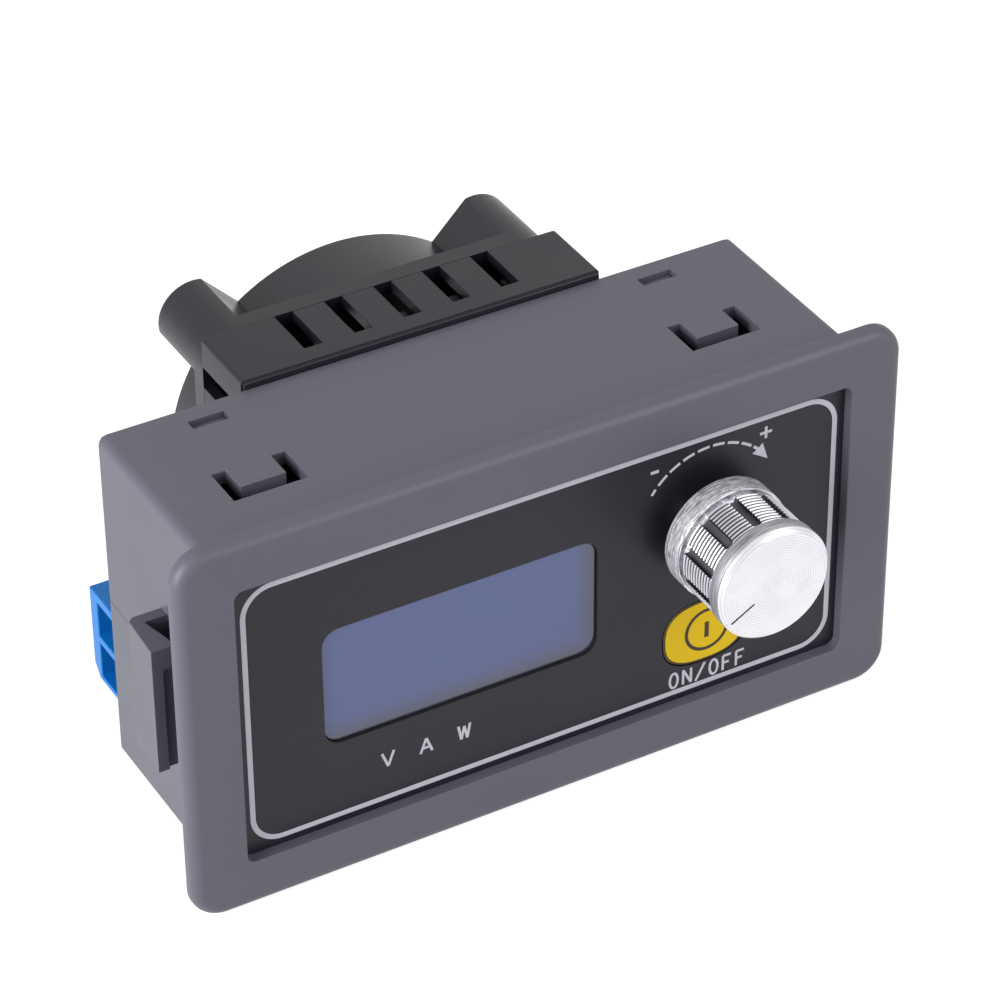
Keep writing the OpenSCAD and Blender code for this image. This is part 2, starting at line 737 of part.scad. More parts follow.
module mosfet() {
    foot_z = mosfet_z - mosfet_h / 2;
    color("#202022") {
        difference() {
            block(-mosfet_w / 2, mosfet_w / 2, mosfet_y, body_d, foot_z, foot_z + mosfet_h);
            rod(fan_screw_r + screw_gap, mosfet_y - past, body_d + past, 0, mosfet_hole_z);
        }
        for (i = [-1 : 1]) block(i * lead_pitch - 0.6, i * lead_pitch + 0.6, main_back_y, main_back_y + 0.6,
            foot_z - lead_len, foot_z + fuse);
    }
}

module mosfet_screw() {
    color("#c2c4c8") translate([0, 0, mosfet_hole_z]) difference() {
        turned([[0, mosfet_y - 2], [screw_head_r - 0.5, mosfet_y - 2], [screw_head_r, mosfet_y - 1.4],
            [screw_head_r, mosfet_y], [fan_screw_r, mosfet_y], [fan_screw_r, fin_y - 0.3], [0, fin_y - 0.3]]);
        cross_recess(screw_cross, mosfet_y - 2);
    }
}

module shunt_resistor() {
    front = main_y - shunt_h;
    color("#a8795a") translate([0, 0, shunt_z]) linear_extrude(shunt_w) polygon([
        [shunt_x0, main_y], [shunt_x0, front], [shunt_x1, front], [shunt_x1, main_y],
        [shunt_x1 - shunt_t, main_y], [shunt_x1 - shunt_t, front + shunt_t],
        [shunt_x0 + shunt_t, front + shunt_t], [shunt_x0 + shunt_t, main_y]]);
}

module capacitor() {
    r = capacitor_r;
    front = main_y - capacitor_h;
    color("#2a2c38") translate([capacitor_x, 0, capacitor_z]) turned([[0, front + 0.2], [r - 1, front + 0.2],
        [r - 0.8, front], [r - 0.3, front], [r, front + 0.3], [r, main_y - 2], [r - 0.4, main_y - 1.7],
        [r, main_y - 1.4], [r, main_y], [0, main_y]]);
}

module heatsink() {
    color("#3f3f43") difference() {
        union() {
            along_y(body_d, fin_y) square(sink_w, center = true);
            for (i = [0 : fin_n - 1]) let (x = (i - (fin_n - 1) / 2) * fin_pitch)
                block(x - fin_w / 2, x + fin_w / 2, fin_y - fuse, fin_y + fin_h, -sink_w / 2, sink_w / 2);
        }
        four_ways() {
            rod(fan_screw_r + run, body_d - past, fin_y + past, fan_pitch / 2, fan_pitch / 2);
            rod(sink_screw_r + run, body_d - past, fin_y + past, sink_screw_x, sink_screw_z);
        }
        rod(fan_screw_r + run, body_d - past, fin_y - 0.2, 0, mosfet_hole_z);
    }
}

module heatsink_screws() {
    color("#c2c4c8") four_ways() translate([sink_screw_x, 0, sink_screw_z]) difference() {
        turned([[0, cover_y - sink_screw_head_t], [sink_screw_head_r - 0.4, cover_y - sink_screw_head_t],
            [sink_screw_head_r, cover_y - 0.9], [sink_screw_head_r, cover_y], [sink_screw_r, cover_y],
            [sink_screw_r, fin_y - 0.4], [0, fin_y - 0.4]]);
        cross_recess(sink_screw_cross, cover_y - sink_screw_head_t);
    }
}

module air_duct() {
    half = fan_size / 2;
    inner = half - duct_wall;
    foot_w = fan_size - 0.4;
    foot_t = 0.4;
    post = fan_pitch / 2;
    slot_y = fan_y - slot_len;
    color("#454449") difference() {
        union() {
            difference() {
                union() {
                    along_y(body_d, body_d + foot_t) polygon(round_rect(foot_w, foot_w, 0.3));
                    along_y(body_d + foot_t, fan_y) polygon(round_rect(fan_size, fan_size, 0.4));
                }
                along_y(body_d - past, fan_y + past) square(2 * inner, center = true);
                for (i = [-2 : 2]) block(i * slot_pitch - duct_slot / 2, i * slot_pitch + duct_slot / 2,
                    slot_y, fan_y + past, -half - past, half + past);
                for (z = [-2.5 : 1 : 2.5]) block(-half - past, half + past, slot_y, fan_y + past,
                    z * (slot_pitch + 0.7) - duct_slot * 0.6, z * (slot_pitch + 0.7) + duct_slot * 0.6);
            }
            four_ways() {
                rod(duct_post_r, fin_y, fan_y, post, post);
                block(post, inner + fuse, fin_y, fan_y, post, inner + fuse);
            }
        }
        four_ways() rod(fan_hole_r, body_d - past, fan_y + past, post, post);
    }
}

module fan_frame() {
    hole = fan_pitch / 2;
    half = fan_size / 2;
    plate_y = fan_y + fan_plate_t;
    color("#3f3e43") {
        difference() {
            union() {
                along_y(fan_y, plate_y) polygon([[half, -hole], [half, hole], [hole, half], [-hole, half],
                    [-half, hole], [-half, -hole], [-hole, -half], [hole, -half]]);
                rod(fan_ring_r, plate_y - fuse, fan_back_y, 0, 0, fan_ring_end_r);
                four_ways() along_y(fan_y, fan_back_y) rotate(45) polygon(fan_corner);
            }
            rod(fan_bore_r, fan_y - past, fan_back_y + past);
            four_ways() {
                rod(fan_hole_r, fan_y - past, fan_back_y + past, hole, hole);
                rod(screw_head_r + 0.25, fan_back_y - sink_depth, fan_back_y + past, hole, hole);
            }
        }
        difference() {
            union() {
                rod(motor_plate_r, fan_y, fan_y + motor_plate_t);
                rod(sleeve_tube_r, fan_y, sleeve_back_y);
                for (turn = [20 : 90 : 290]) rotate([0, turn, 0])
                    block(motor_plate_r - 1, fan_bore_r + fuse, fan_y, fan_y + motor_plate_t, -0.9, 0.9);
            }
            rod(sleeve_r + 0.02, sleeve_y, sleeve_back_y + past);
        }
    }
}

module fan_bearing() {
    color("#a98a55") difference() {
        rod(sleeve_r, sleeve_y, sleeve_back_y);
        rod(fan_shaft_r + 0.03, sleeve_y - past, sleeve_back_y + past);
    }
}

module fan_stator() {
    pole = 2.6;
    core = sleeve_tube_r + 1.4;
    color("#9a6a3c") difference() {
        along_y(stator_y, stator_back_y) difference() {
            union() {
                circle(r = core);
                for (turn = [0, 90]) rotate(turn) square([2 * stator_r - 1, pole], center = true);
                difference() {
                    circle(r = stator_r);
                    circle(r = stator_r - 1.2);
                    for (turn = [45, 135]) rotate(turn) square([3 * stator_r, 2.4], center = true);
                }
            }
            circle(r = sleeve_tube_r + run);
        }
    }
}

module fan_shaft() {
    color("#c2c4c8") rod(fan_shaft_r, sleeve_y + 0.1, hub_back_y - 0.5);
}

module fan_magnet() {
    color("#3a3633") difference() {
        rod(magnet_r, stator_y, stator_back_y + 0.6);
        rod(magnet_r - magnet_t, stator_y - past, stator_back_y + 0.6 + past);
    }
}

// One blade, a curved sheet that twists from its leading to its trailing edge
module blade() {
    root = hub_r - 0.4;
    bow = 16;
    thick = 0.9;
    n = 7;
    mid = [for (i = [0 : n]) let (r = root + (blade_tip_r - root) * i / n, a = bow * i / n)
        [r * cos(a), r * sin(a)]];
    translate([0, blade_y, 0]) rotate([-90, 0, 0]) linear_extrude(blade_d, twist = 34, slices = 5)
        polygon(concat([for (p = mid) p + [-0.2, thick / 2]],
            [for (i = [n : -1 : 0]) mid[i] + [0.2, -thick / 2]]));
}

module fan_rotor() {
    boss_y = sleeve_back_y + 0.3;
    color("#3a393e") {
        turned([[hub_r - hub_wall, hub_y], [hub_r, hub_y], [hub_r, hub_back_y - 0.6], [hub_r - 0.6, hub_back_y],
            [0, hub_back_y], [0, hub_back_y - 0.49], [fan_shaft_r + 0.01, hub_back_y - 0.49],
            [fan_shaft_r + 0.01, boss_y], [fan_shaft_r + 1.2, boss_y],
            [fan_shaft_r + 1.2, hub_back_y - hub_top],
            [hub_r - hub_wall, hub_back_y - hub_top]]);
        for (i = [0 : blade_n - 1]) rotate([0, i * 360 / blade_n, 0]) blade();
    }
}

module fan_screws() {
    head_y = fan_back_y - sink_depth;
    color("#c2c4c8") four_ways() translate([fan_pitch / 2, 0, fan_pitch / 2]) difference() {
        turned([[0, body_d + 0.3], [fan_screw_r, body_d + 0.3], [fan_screw_r, head_y], [screw_head_r, head_y],
            [screw_head_r, head_y + screw_head_t - 0.6], [screw_head_r - 0.6, head_y + screw_head_t],
            [0, head_y + screw_head_t]]);
        cross_recess(screw_cross, head_y + screw_head_t);
    }
}

module terminal_housing() {
    slope = 1.2;
    color("#1f86e0") difference() {
        along_x(term_x0, term_x1) polygon([[main_back_y, term_z0], [term_back_y - slope, term_z0],
            [term_back_y, term_z0 + 1.25 * slope], [term_back_y, term_z1], [main_back_y, term_z1]]);
        for (s = [-1, 1]) translate([0, 0, term_z + s * term_pitch / 2]) {
            block(term_x0 - past, term_x0 + cell_depth, cell_y, cell_back_y, -cell_w / 2, cell_w / 2);
            rod(term_head_r + run, cell_back_y - past, term_back_y + past, term_screw_x);
            block(strip_x1 - strip_t - 0.1, strip_x1 + 0.1, main_back_y - past, cell_y + past,
                -strip_w / 2 - 0.1, strip_w / 2 + 0.1);
        }
    }
}

module terminal_pins() {
    color("#c9a24a") for (s = [-1, 1]) translate([0, 0, term_z + s * term_pitch / 2 - strip_w / 2])
        linear_extrude(strip_w) polygon([[strip_x0, strip_back_y], [strip_x0, strip_back_y - strip_t],
            [strip_x1 - strip_t, strip_back_y - strip_t], [strip_x1 - strip_t, main_back_y],
            [strip_x1, main_back_y], [strip_x1, strip_back_y]]);
}

// A slotted terminal screw, held by its head under the roof of the block
module terminal_screw(s) {
    head_y = cell_back_y + 0.1;
    color("#c2c4c8") translate([term_screw_x, 0, term_z + s * term_pitch / 2]) difference() {
        turned([[0, strip_back_y + 0.1], [term_screw_r, strip_back_y + 0.1], [term_screw_r, head_y],
            [term_head_r, head_y], [term_head_r, head_y + term_head_t], [0, head_y + term_head_t]]);
        translate([0, head_y + term_head_t, 0]) cube([2 * term_head_r + 1, 1, 0.5], center = true);
    }
}

// A rising clamp, a ring that the screw lifts against the strip
module terminal_cage(s) {
    half = cage_w / 2;
    color("#b9bbc0") translate([term_screw_x, 0, term_z + s * term_pitch / 2]) difference() {
        block(-cage_len / 2, cage_len / 2, cage_y, cage_back_y, -half, half);
        block(-cage_len, cage_len, cage_y + cage_floor, cage_back_y - cage_top,
            -half + cage_side, half - cage_side);
        rod(term_screw_r + run, cage_back_y - cage_top - 0.2, cage_back_y + past);
    }
}

module terminal_screw_upper() { terminal_screw(1); }

module terminal_screw_lower() { terminal_screw(-1); }

module terminal_cage_upper() { terminal_cage(1); }

module terminal_cage_lower() { terminal_cage(-1); }

module dc_jack_housing() {
    color("#1a1a1c") translate([jack_x, 0, jack_z]) difference() {
        block(-jack_w / 2, jack_w / 2, main_back_y, jack_back_y, -jack_w / 2, jack_w / 2);
        rod(jack_bore_r, jack_floor_y, jack_back_y + past);
        rod(jack_bore_r, jack_back_y - 0.4, jack_back_y + 0.2, 0, 0, jack_bore_r + 0.6);
    }
}

module dc_jack_contact() {
    color("#d0c9a8") translate([jack_x, 0, jack_z]) turned([[0, jack_floor_y], [jack_pin_r + 0.6, jack_floor_y],
        [jack_pin_r + 0.6, jack_floor_y + 0.6], [jack_pin_r, jack_floor_y + 0.6],
        [jack_pin_r, jack_back_y - 1.6],
        [jack_pin_r - 0.4, jack_back_y - 1.1], [0, jack_back_y - 1.1]]);
}

case();
rear_cover();
front_panel();
overlay_film();
on_off_key();
switch_body();
switch_plunger();
lcd_glass();
lcd_backlight();
display_board();
encoder_body();
encoder_plunger();
encoder_shaft();
knob_insert();
knob_cap();
main_board();
board_header();
mosfet();
mosfet_screw();
shunt_resistor();
capacitor();
heatsink();
heatsink_screws();
air_duct();
fan_frame();
fan_bearing();
fan_stator();
fan_shaft();
fan_magnet();
fan_rotor();
fan_screws();
terminal_housing();
terminal_pins();
terminal_screw_upper();
terminal_screw_lower();
terminal_cage_upper();
terminal_cage_lower();
dc_jack_housing();
dc_jack_contact();
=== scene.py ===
"""Looks of a panel-mounting dc electronic load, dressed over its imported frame.

Every piece lies in the frame's own axes, X to the right, Y to the back and Z up, with its place in
its mesh. Sizes in the classes are in millimetres, and meshes are written in metres.
"""

import json
import logging
import math
from dataclasses import dataclass
from enum import Enum
from typing import Any, ClassVar, Iterable, Union

import bmesh
import bpy
import numpy as np
from mathutils import Matrix, Vector

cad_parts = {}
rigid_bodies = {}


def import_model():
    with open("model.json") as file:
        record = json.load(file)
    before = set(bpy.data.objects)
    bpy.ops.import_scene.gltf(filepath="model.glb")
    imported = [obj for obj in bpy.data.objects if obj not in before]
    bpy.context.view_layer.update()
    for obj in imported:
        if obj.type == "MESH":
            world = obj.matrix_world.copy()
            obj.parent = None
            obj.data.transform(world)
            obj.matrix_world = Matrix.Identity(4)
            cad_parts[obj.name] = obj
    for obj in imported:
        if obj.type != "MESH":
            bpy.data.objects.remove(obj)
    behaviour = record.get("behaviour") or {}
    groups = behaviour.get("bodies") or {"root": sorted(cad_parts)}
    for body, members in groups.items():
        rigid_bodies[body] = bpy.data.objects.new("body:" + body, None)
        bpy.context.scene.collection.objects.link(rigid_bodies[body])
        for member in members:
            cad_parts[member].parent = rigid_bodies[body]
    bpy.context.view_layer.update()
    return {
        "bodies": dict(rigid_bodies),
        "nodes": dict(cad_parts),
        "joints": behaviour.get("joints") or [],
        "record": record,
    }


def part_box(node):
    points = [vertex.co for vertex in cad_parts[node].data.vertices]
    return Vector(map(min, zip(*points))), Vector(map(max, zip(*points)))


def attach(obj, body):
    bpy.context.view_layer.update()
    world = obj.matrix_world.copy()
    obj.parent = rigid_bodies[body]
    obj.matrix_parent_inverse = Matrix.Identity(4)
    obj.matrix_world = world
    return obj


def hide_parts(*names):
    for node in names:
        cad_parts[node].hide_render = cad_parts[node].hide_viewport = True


LOG = logging.getLogger("electronic_load")
MM = 0.001

# Points of the frame that lie nearer than this, in metres, are one point
WELD = 2e-6
# Faces within this angle, in degrees, are one flat face
FLAT = 0.5
EDGE_SEGMENTS = 2

SHADER = "Principled BSDF"
# The part of a noise's range that most of it fills
NOISE_SPAN = {"From Min": 0.3, "From Max": 0.7}

Shape = tuple[np.ndarray, list[list[int]]]
Inputs = dict[Union[str, int], Any]


def linear(hex_colour: str) -> tuple[float, float, float, float]:
    """Turns an sRGB hex colour such as "#6c6c76" to linear red, green and blue, with an alpha of one."""
    srgb = np.array([int(hex_colour[i:i + 2], 16) for i in (1, 3, 5)]) / 255
    light = np.where(srgb <= 0.04045, srgb / 12.92, ((srgb + 0.055) / 1.055) ** 2.4)
    red, green, blue = light.tolist()
    return red, green, blue, 1.0


def feed(node: bpy.types.Node, inputs: Inputs) -> None:
    """Gives each named input of a node its number, its hex colour or a link from another node's output."""
    for key, value in inputs.items():
        if isinstance(value, bpy.types.NodeSocket):
            node.id_data.links.new(value, node.inputs[key])
        else:
            node.inputs[key].default_value = linear(value) if isinstance(value, str) else value


def add_node(tree: bpy.types.NodeTree, kind: str, inputs: Inputs, out: Union[str, int] = 0,
             **settings: Any) -> bpy.types.NodeSocket:
    """Adds a node, sets its options and feeds its inputs.

    Args:
        tree: The node tree that gets the node.
        kind: The node's type, without the prefix that all of them share.
        inputs: A number, a hex colour or an output to link, for each input by name or place.
        out: The output that is wanted, by name or place.
        **settings: Options of the node, such as its operation.

    Returns:
        The wanted output.
    """
    node = tree.nodes.new(f"ShaderNode{kind}")
    for key, value in settings.items():
        setattr(node, key, value)
    feed(node, inputs)
    return node.outputs[out]


def per_mm(size_mm: float) -> float:
    """Gives the scale of a texture whose features are size_mm across."""
    return 1 / (size_mm * MM)


class Coordinates(Enum):
    """Where a pattern takes its place from."""

    OBJECT = "Object"
    UV = "UV"


def new_material(name: str, coordinates: Coordinates = Coordinates.OBJECT,
                 ) -> tuple[bpy.types.Material, bpy.types.NodeTree, bpy.types.NodeSocket]:
    """Starts a material, and gives it with its node tree and the coordinates that its patterns read."""
    material = bpy.data.materials.new(name)
    material.use_nodes = True
    tree = material.node_tree
    return material, tree, add_node(tree, "TexCoord", {}, coordinates.value)


def wander(tree: bpy.types.NodeTree, place: bpy.types.NodeSocket, size_mm: float, colours: tuple[str, str],
           gloss: tuple[float, float]) -> Inputs:
    """Lets colour and gloss wander together: one slow noise leads both between their two ends.

    Args:
        tree: The material's node tree.
        place: The coordinates of the noise.
        size_mm: How far it is from one blotch to the next.
        colours: The two colours.
        gloss: The two roughnesses.

    Returns:
        The shader's colour and roughness.
    """
    cloud = add_node(tree, "TexNoise", {"Vector": place, "Scale": per_mm(size_mm), "Detail": 3.0})
    share = add_node(tree, "MapRange", {"Value": cloud, **NOISE_SPAN})
    colour = add_node(tree, "Mix", {"Factor": share, 6: colours[0], 7: colours[1]}, 2, data_type="RGBA")
    rough = add_node(tree, "MapRange", {"Value": cloud, **NOISE_SPAN, "To Min": gloss[0], "To Max": gloss[1]})
    return {"Base Color": colour, "Roughness": rough}


def grain(tree: bpy.types.NodeTree, place: bpy.types.NodeSocket, size_mm: float, depth_mm: float) -> Inputs:
    """Raises a fine even grain: a noise with pits size_mm apart, taken as a height of depth_mm."""
    height = add_node(tree, "TexNoise", {"Vector": place, "Scale": per_mm(size_mm), "Detail": 2.0})
    return {"Normal": add_node(tree, "Bump", {"Height": height, "Distance": depth_mm * MM})}


@dataclass(frozen=True)
class MouldedPlastic:
    """An injection-moulded plastic: an even colour that drifts a little, under its mould's fine grain."""

    name: str
    colour: str
    drift: str
    grain_mm: float = 0.22
    grain_depth_mm: float = 0.012
    roughness: float = 0.5
    specular: float = 0.5
    drift_mm: float = 11.0
    gloss_swing: float = 0.05

    def material(self) -> bpy.types.Material:
        """Builds the finish, whose colour and gloss wander slowly and whose normal carries the grain."""
        material, tree, place = new_material(self.name)
        gloss = (self.roughness - self.gloss_swing, self.roughness + self.gloss_swing)
        feed(tree.nodes[SHADER], {"IOR": 1.5, "Specular IOR Level": self.specular,
                                  **wander(tree, place, self.drift_mm, (self.colour, self.drift), gloss),
                                  **grain(tree, place, self.grain_mm, self.grain_depth_mm)})
        return material


@dataclass(frozen=True)
class PrintedInk:
    """Screen-printed ink: an almost even, satin coat, a little cloudy where the screen laid it thinner."""

    name: str
    colour: str
    thin: str
    cloud_mm: float = 1.2
    mesh_mm: float = 0.12
    mesh_depth_mm: float = 0.003
    gloss: tuple[float, float] = (0.49, 0.61)

    def material(self) -> bpy.types.Material:
        """Builds the finish, cloudy over about a millimetre and faintly rough from its screen."""
        material, tree, place = new_material(self.name)
        feed(tree.nodes[SHADER], {"IOR": 1.48,
                                  **wander(tree, place, self.cloud_mm, (self.colour, self.thin), self.gloss),
                                  **grain(tree, place, self.mesh_mm, self.mesh_depth_mm)})
        return material


@dataclass(frozen=True)
class PrintedFilm:
    """Polycarbonate film with a velvet face: dark print under a fine bead that softens every highlight."""

    name: str = "velvet_polycarbonate_film"
    colour: str = "#17151e"
    drift: str = "#1a1822"
    drift_mm: float = 14.0
    # The real bead is about 0.03 mm, too fine to show
    bead_mm: float = 0.16
    bead_depth_mm: float = 0.006
    gloss: tuple[float, float] = (0.4, 0.48)

    def material(self) -> bpy.types.Material:
        """Builds the finish, with the beads as the pits of a fine noise."""
        material, tree, place = new_material(self.name)
        feed(tree.nodes[SHADER], {"IOR": 1.58, "Specular IOR Level": 0.28,
                                  **wander(tree, place, self.drift_mm, (self.colour, self.drift), self.gloss),
                                  **grain(tree, place, self.bead_mm, self.bead_depth_mm)})
        return material


@dataclass(frozen=True)
class DisplayCell:
    """A switched-off liquid crystal cell: bluish violet behind glass, greyer where its edge shades it."""

    centre_mm: tuple[float, float]
    size_mm: tuple[float, float]
    name: str = "liquid_crystal_glass"
    colour: str = "#435891"
    violet: str = "#4a5490"
    grey: str = "#464652"
    cloud_mm: float = 7.0
    shade_mm: float = 3.2
    right_falloff: float = 1.6
    low_falloff: float = 1.4
    gloss: tuple[float, float] = (0.14, 0.18)

    def material(self) -> bpy.types.Material:
        """Builds the finish.

        Returns:
            A glossy material whose colour turns grey towards the cell's lower and right edges.
        """
        material, tree, place = new_material(self.name)
        shade = self.shade_mm * MM
        right = (self.centre_mm[0] + self.size_mm[0] / 2) * MM
        low = (self.centre_mm[1] - self.size_mm[1] / 2) * MM
        across = add_node(tree, "SeparateXYZ", {"Vector": place}, "X")
        near_right = add_node(tree, "MapRange", {"Value": across, "From Min": right - shade, "From Max": right})
        near_low = add_node(tree, "MapRange",
                            {"Value": across.node.outputs["Z"], "From Min": low, "From Max": low + shade,
                             "To Min": 1.0, "To Max": 0.0})
        from_right = add_node(tree, "Math", {0: near_right, 1: self.right_falloff}, operation="POWER")
        from_low = add_node(tree, "Math", {0: near_low, 1: self.low_falloff}, operation="POWER")
        edge = add_node(tree, "Math", {0: from_right, 1: from_low}, operation="MAXIMUM")
        face = wander(tree, place, self.cloud_mm, (self.colour, self.violet), self.gloss)
        # Painted shade: the colour turns grey towards the lower and right edges, where the window's edge shades
        # the cell
        shaded = add_node(tree, "Mix", {"Factor": edge, 6: face["Base Color"], 7: self.grey}, 2,
                          data_type="RGBA")
        feed(tree.nodes[SHADER], {"IOR": 1.5, "Coat Weight": 0.6, "Coat Roughness": 0.04, **face,
                                  "Base Color": shaded})
        return material


@dataclass(frozen=True)
class SpunAluminium:
    """Bright turned aluminium: tool rings on the face and polished crests, with painted shade in the valleys
    between them and in the notches.
    """

    axis_mm: tuple[float, float]
    name: str = "spun_aluminium"
    colour: str = "#e4e3e8"
    ring_colour: str = "#c4c4ca"
    groove_shade: str = "#404046"
    notch_shade: str = "#6e6e74"
    # The tool's real feed is about 0.1 mm, too fine to show
    ring_mm: float = 0.26
    ring_depth_mm: float = 0.006
    cloud_mm: float = 2.4

    def material(self) -> bpy.types.Material:
        """Builds the finish.

        Returns:
            A metal whose rings are a sine of the distance from the axis, and which darkens with painted shade
            and dulls with the depth that the piece's own attribute gives: first between the ridges, then in the
            notches.
        """
        material, tree, place = new_material(self.name)
        centred = add_node(tree, "Mapping",
                           {"Vector": place, "Location": (-self.axis_mm[0] * MM, 0, -self.axis_mm[1] * MM),
                            "Scale": (1, 0, 1)})
        radius = add_node(tree, "VectorMath", {0: centred}, "Value", operation="LENGTH")
        turns = add_node(tree, "Math", {0: radius, 1: math.tau * per_mm(self.ring_mm)}, operation="MULTIPLY")
        rings = add_node(tree, "Math", {0: turns}, operation="SINE")
        cloud = add_node(tree, "TexNoise", {"Vector": place, "Scale": per_mm(self.cloud_mm), "Detail": 4.0})
        faint = add_node(tree, "MapRange", {"Value": cloud, "From Min": 0.35, "From Max": 0.65, "To Min": 0.25})
        crest = add_node(tree, "MapRange", {"Value": rings, "From Min": 0.1, "From Max": 0.95})
        cut = add_node(tree, "Math", {0: crest, 1: faint}, operation="MULTIPLY")
        bright = add_node(tree, "Mix", {"Factor": cut, 6: self.colour, 7: self.ring_colour}, 2,
                          data_type="RGBA")
        # Painted shade: the deeper a point lies, between the ridges, in the notches or in the engraved mark, the
        # darker its colour
        depth = add_node(tree, "Attribute", {}, "Fac", attribute_name=Knob.GROOVE_SHADE)
        shallow = add_node(tree, "MapRange", {"Value": depth, "From Min": 0.05, "From Max": 0.22})
        deep = add_node(tree, "MapRange", {"Value": depth, "From Min": 0.45, "From Max": 0.8})
        ridged = add_node(tree, "Mix", {"Factor": shallow, 6: bright, 7: self.groove_shade}, 2, data_type="RGBA")
        notched = add_node(tree, "Mix", {"Factor": deep, 6: ridged, 7: self.notch_shade}, 2, data_type="RGBA")
        gloss = add_node(tree, "MapRange", {"Value": cloud, **NOISE_SPAN, "To Min": 0.2, "To Max": 0.32})
        dulled = add_node(tree, "Math", {0: deep, 1: 0.3, 2: gloss}, operation="MULTIPLY_ADD")
        relief = add_node(tree, "Math", {0: rings, 1: faint}, operation="MULTIPLY")
        normal = add_node(tree, "Bump", {"Height": relief, "Distance": self.ring_depth_mm * MM})
        feed(tree.nodes[SHADER], {"Metallic": 0.94, "Base Color": notched, "Roughness": dulled,
                                  "Normal": normal})
        return material


@dataclass(frozen=True)
class TurnedAluminium:
    """Aluminium bar as a coarse tool leaves its side: streaks that run round it and scatter the light."""

    round_mm: float
    length_mm: float
    name: str
    colour: str
    torn: str
    metallic: float
    streak_mm: tuple[float, float]
    pit_mm: tuple[float, float]
    depth_mm: float

    def material(self) -> bpy.types.Material:
        """Builds the finish from streaks that are long round the bar and short along it, broken by pits."""
        material, tree, place = new_material(self.name, Coordinates.UV)
        layers = []
        for across, along in (self.streak_mm, self.pit_mm):
            stretched = add_node(tree, "Mapping",
                                 {"Vector": place, "Scale": (self.round_mm / across, self.length_mm / along, 1)})
            layers.append(add_node(tree, "TexNoise", {"Vector": stretched, "Scale": 1.0, "Detail": 4.0}))
        streak = add_node(tree, "MapRange", {"Value": layers[0], "From Min": 0.36, "From Max": 0.56})
        pit = add_node(tree, "MapRange", {"Value": layers[1], **NOISE_SPAN, "To Min": 0.45, "To Max": 1.2})
        wear = add_node(tree, "Math", {0: streak, 1: pit}, operation="MULTIPLY")
        colour = add_node(tree, "Mix", {"Factor": wear, 6: self.torn, 7: self.colour}, 2, data_type="RGBA")
        rough = add_node(tree, "MapRange", {"Value": layers[0], **NOISE_SPAN, "To Min": 0.62, "To Max": 0.42})
        normal = add_node(tree, "Bump", {"Height": wear, "Distance": self.depth_mm * MM})
        feed(tree.nodes[SHADER], {"Metallic": self.metallic, "Base Color": colour, "Roughness": rough,
                                  "Normal": normal})
        return material


@dataclass(frozen=True)
class PlainMetal:
    """A drawn, plated or extruded metal: a soft sheen with hairlines along one direction."""

    name: str
    colour: str
    dull: str
    roughness: float = 0.32
    hair_mm: tuple[float, float, float] = (0.4, 0.4, 3.0)
    depth_mm: float = 0.004
    stain_mm: float = 4.0

    def material(self) -> bpy.types.Material:
        """Builds the finish from noise stretched along the direction of drawing."""
        material, tree, place = new_material(self.name)
        along = add_node(tree, "Mapping",
                         {"Vector": place, "Scale": tuple(per_mm(size) for size in self.hair_mm)})
        hair = add_node(tree, "TexNoise", {"Vector": along, "Scale": 1.0, "Detail": 3.0})
        gloss = add_node(tree, "MapRange",
                         {"Value": hair, **NOISE_SPAN, "To Min": self.roughness - 0.07,
                          "To Max": self.roughness + 0.1})
        stain = wander(tree, place, self.stain_mm, (self.colour, self.dull), (self.roughness, self.roughness))
        normal = add_node(tree, "Bump", {"Height": hair, "Distance": self.depth_mm * MM})
        feed(tree.nodes[SHADER], {"Metallic": 1.0, "Base Color": stain["Base Color"], "Roughness": gloss,
                                  "Normal": normal})
        return material


@dataclass(frozen=True)
class SolderMask:
    """Glass-epoxy board under green solder mask: copper tracks show as slightly raised, lighter lanes."""

    name: str = "green_solder_mask"
    colour: str = "#123a26"
    track: str = "#1d5a39"
    lane_mm: float = 1.1
    copper_mm: float = 0.02

    def material(self) -> bpy.types.Material:
        """Builds the finish from square cells that stand for the lanes of copper."""
        material, tree, place = new_material(self.name)
        lanes = add_node(tree, "TexVoronoi",
                         {"Vector": place, "Scale": per_mm(self.lane_mm), "Randomness": 0.4}, "Distance",
                         distance="CHEBYCHEV", feature="F1")
        copper = add_node(tree, "MapRange",
                          {"Value": lanes, "From Min": 0.3, "From Max": 0.36, "To Min": 1.0, "To Max": 0.0})
        colour = add_node(tree, "Mix", {"Factor": copper, 6: self.colour, 7: self.track}, 2, data_type="RGBA")
        normal = add_node(tree, "Bump", {"Height": copper, "Distance": self.copper_mm * MM})
        feed(tree.nodes[SHADER], {"IOR": 1.5, "Roughness": 0.3, "Base Color": colour, "Normal": normal})
        return material


def quads_between(rows: int, columns: int, close_rows: bool, close_columns: bool) -> np.ndarray:
    """Numbers the quads of a grid of points, row by row.

    Args:
        rows: Points along the first parameter.
        columns: Points along the second parameter.
        close_rows: Whether the last row joins the first.
        close_columns: Whether the last column joins the first.

    Returns:
        An array of four point numbers for each quad.
    """
    row = np.arange(rows if close_rows else rows - 1)[:, None]
    column = np.arange(columns if close_columns else columns - 1)[None, :]
    next_row, next_column = (row + 1) % rows, (column + 1) % columns
    corners = [row * columns + column, row * columns + next_column,
               next_row * columns + next_column, next_row * columns + column]
    return np.stack(corners, axis=-1).reshape(-1, 4)


def arc(centre: tuple[float, float], radius: float, start: float, end: float, count: int) -> np.ndarray:
    """Gives points of an arc, from start to end in degrees."""
    angle = np.radians(np.linspace(start, end, count))
    return np.stack([centre[0] + radius * np.cos(angle), centre[1] + radius * np.sin(angle)], axis=1)


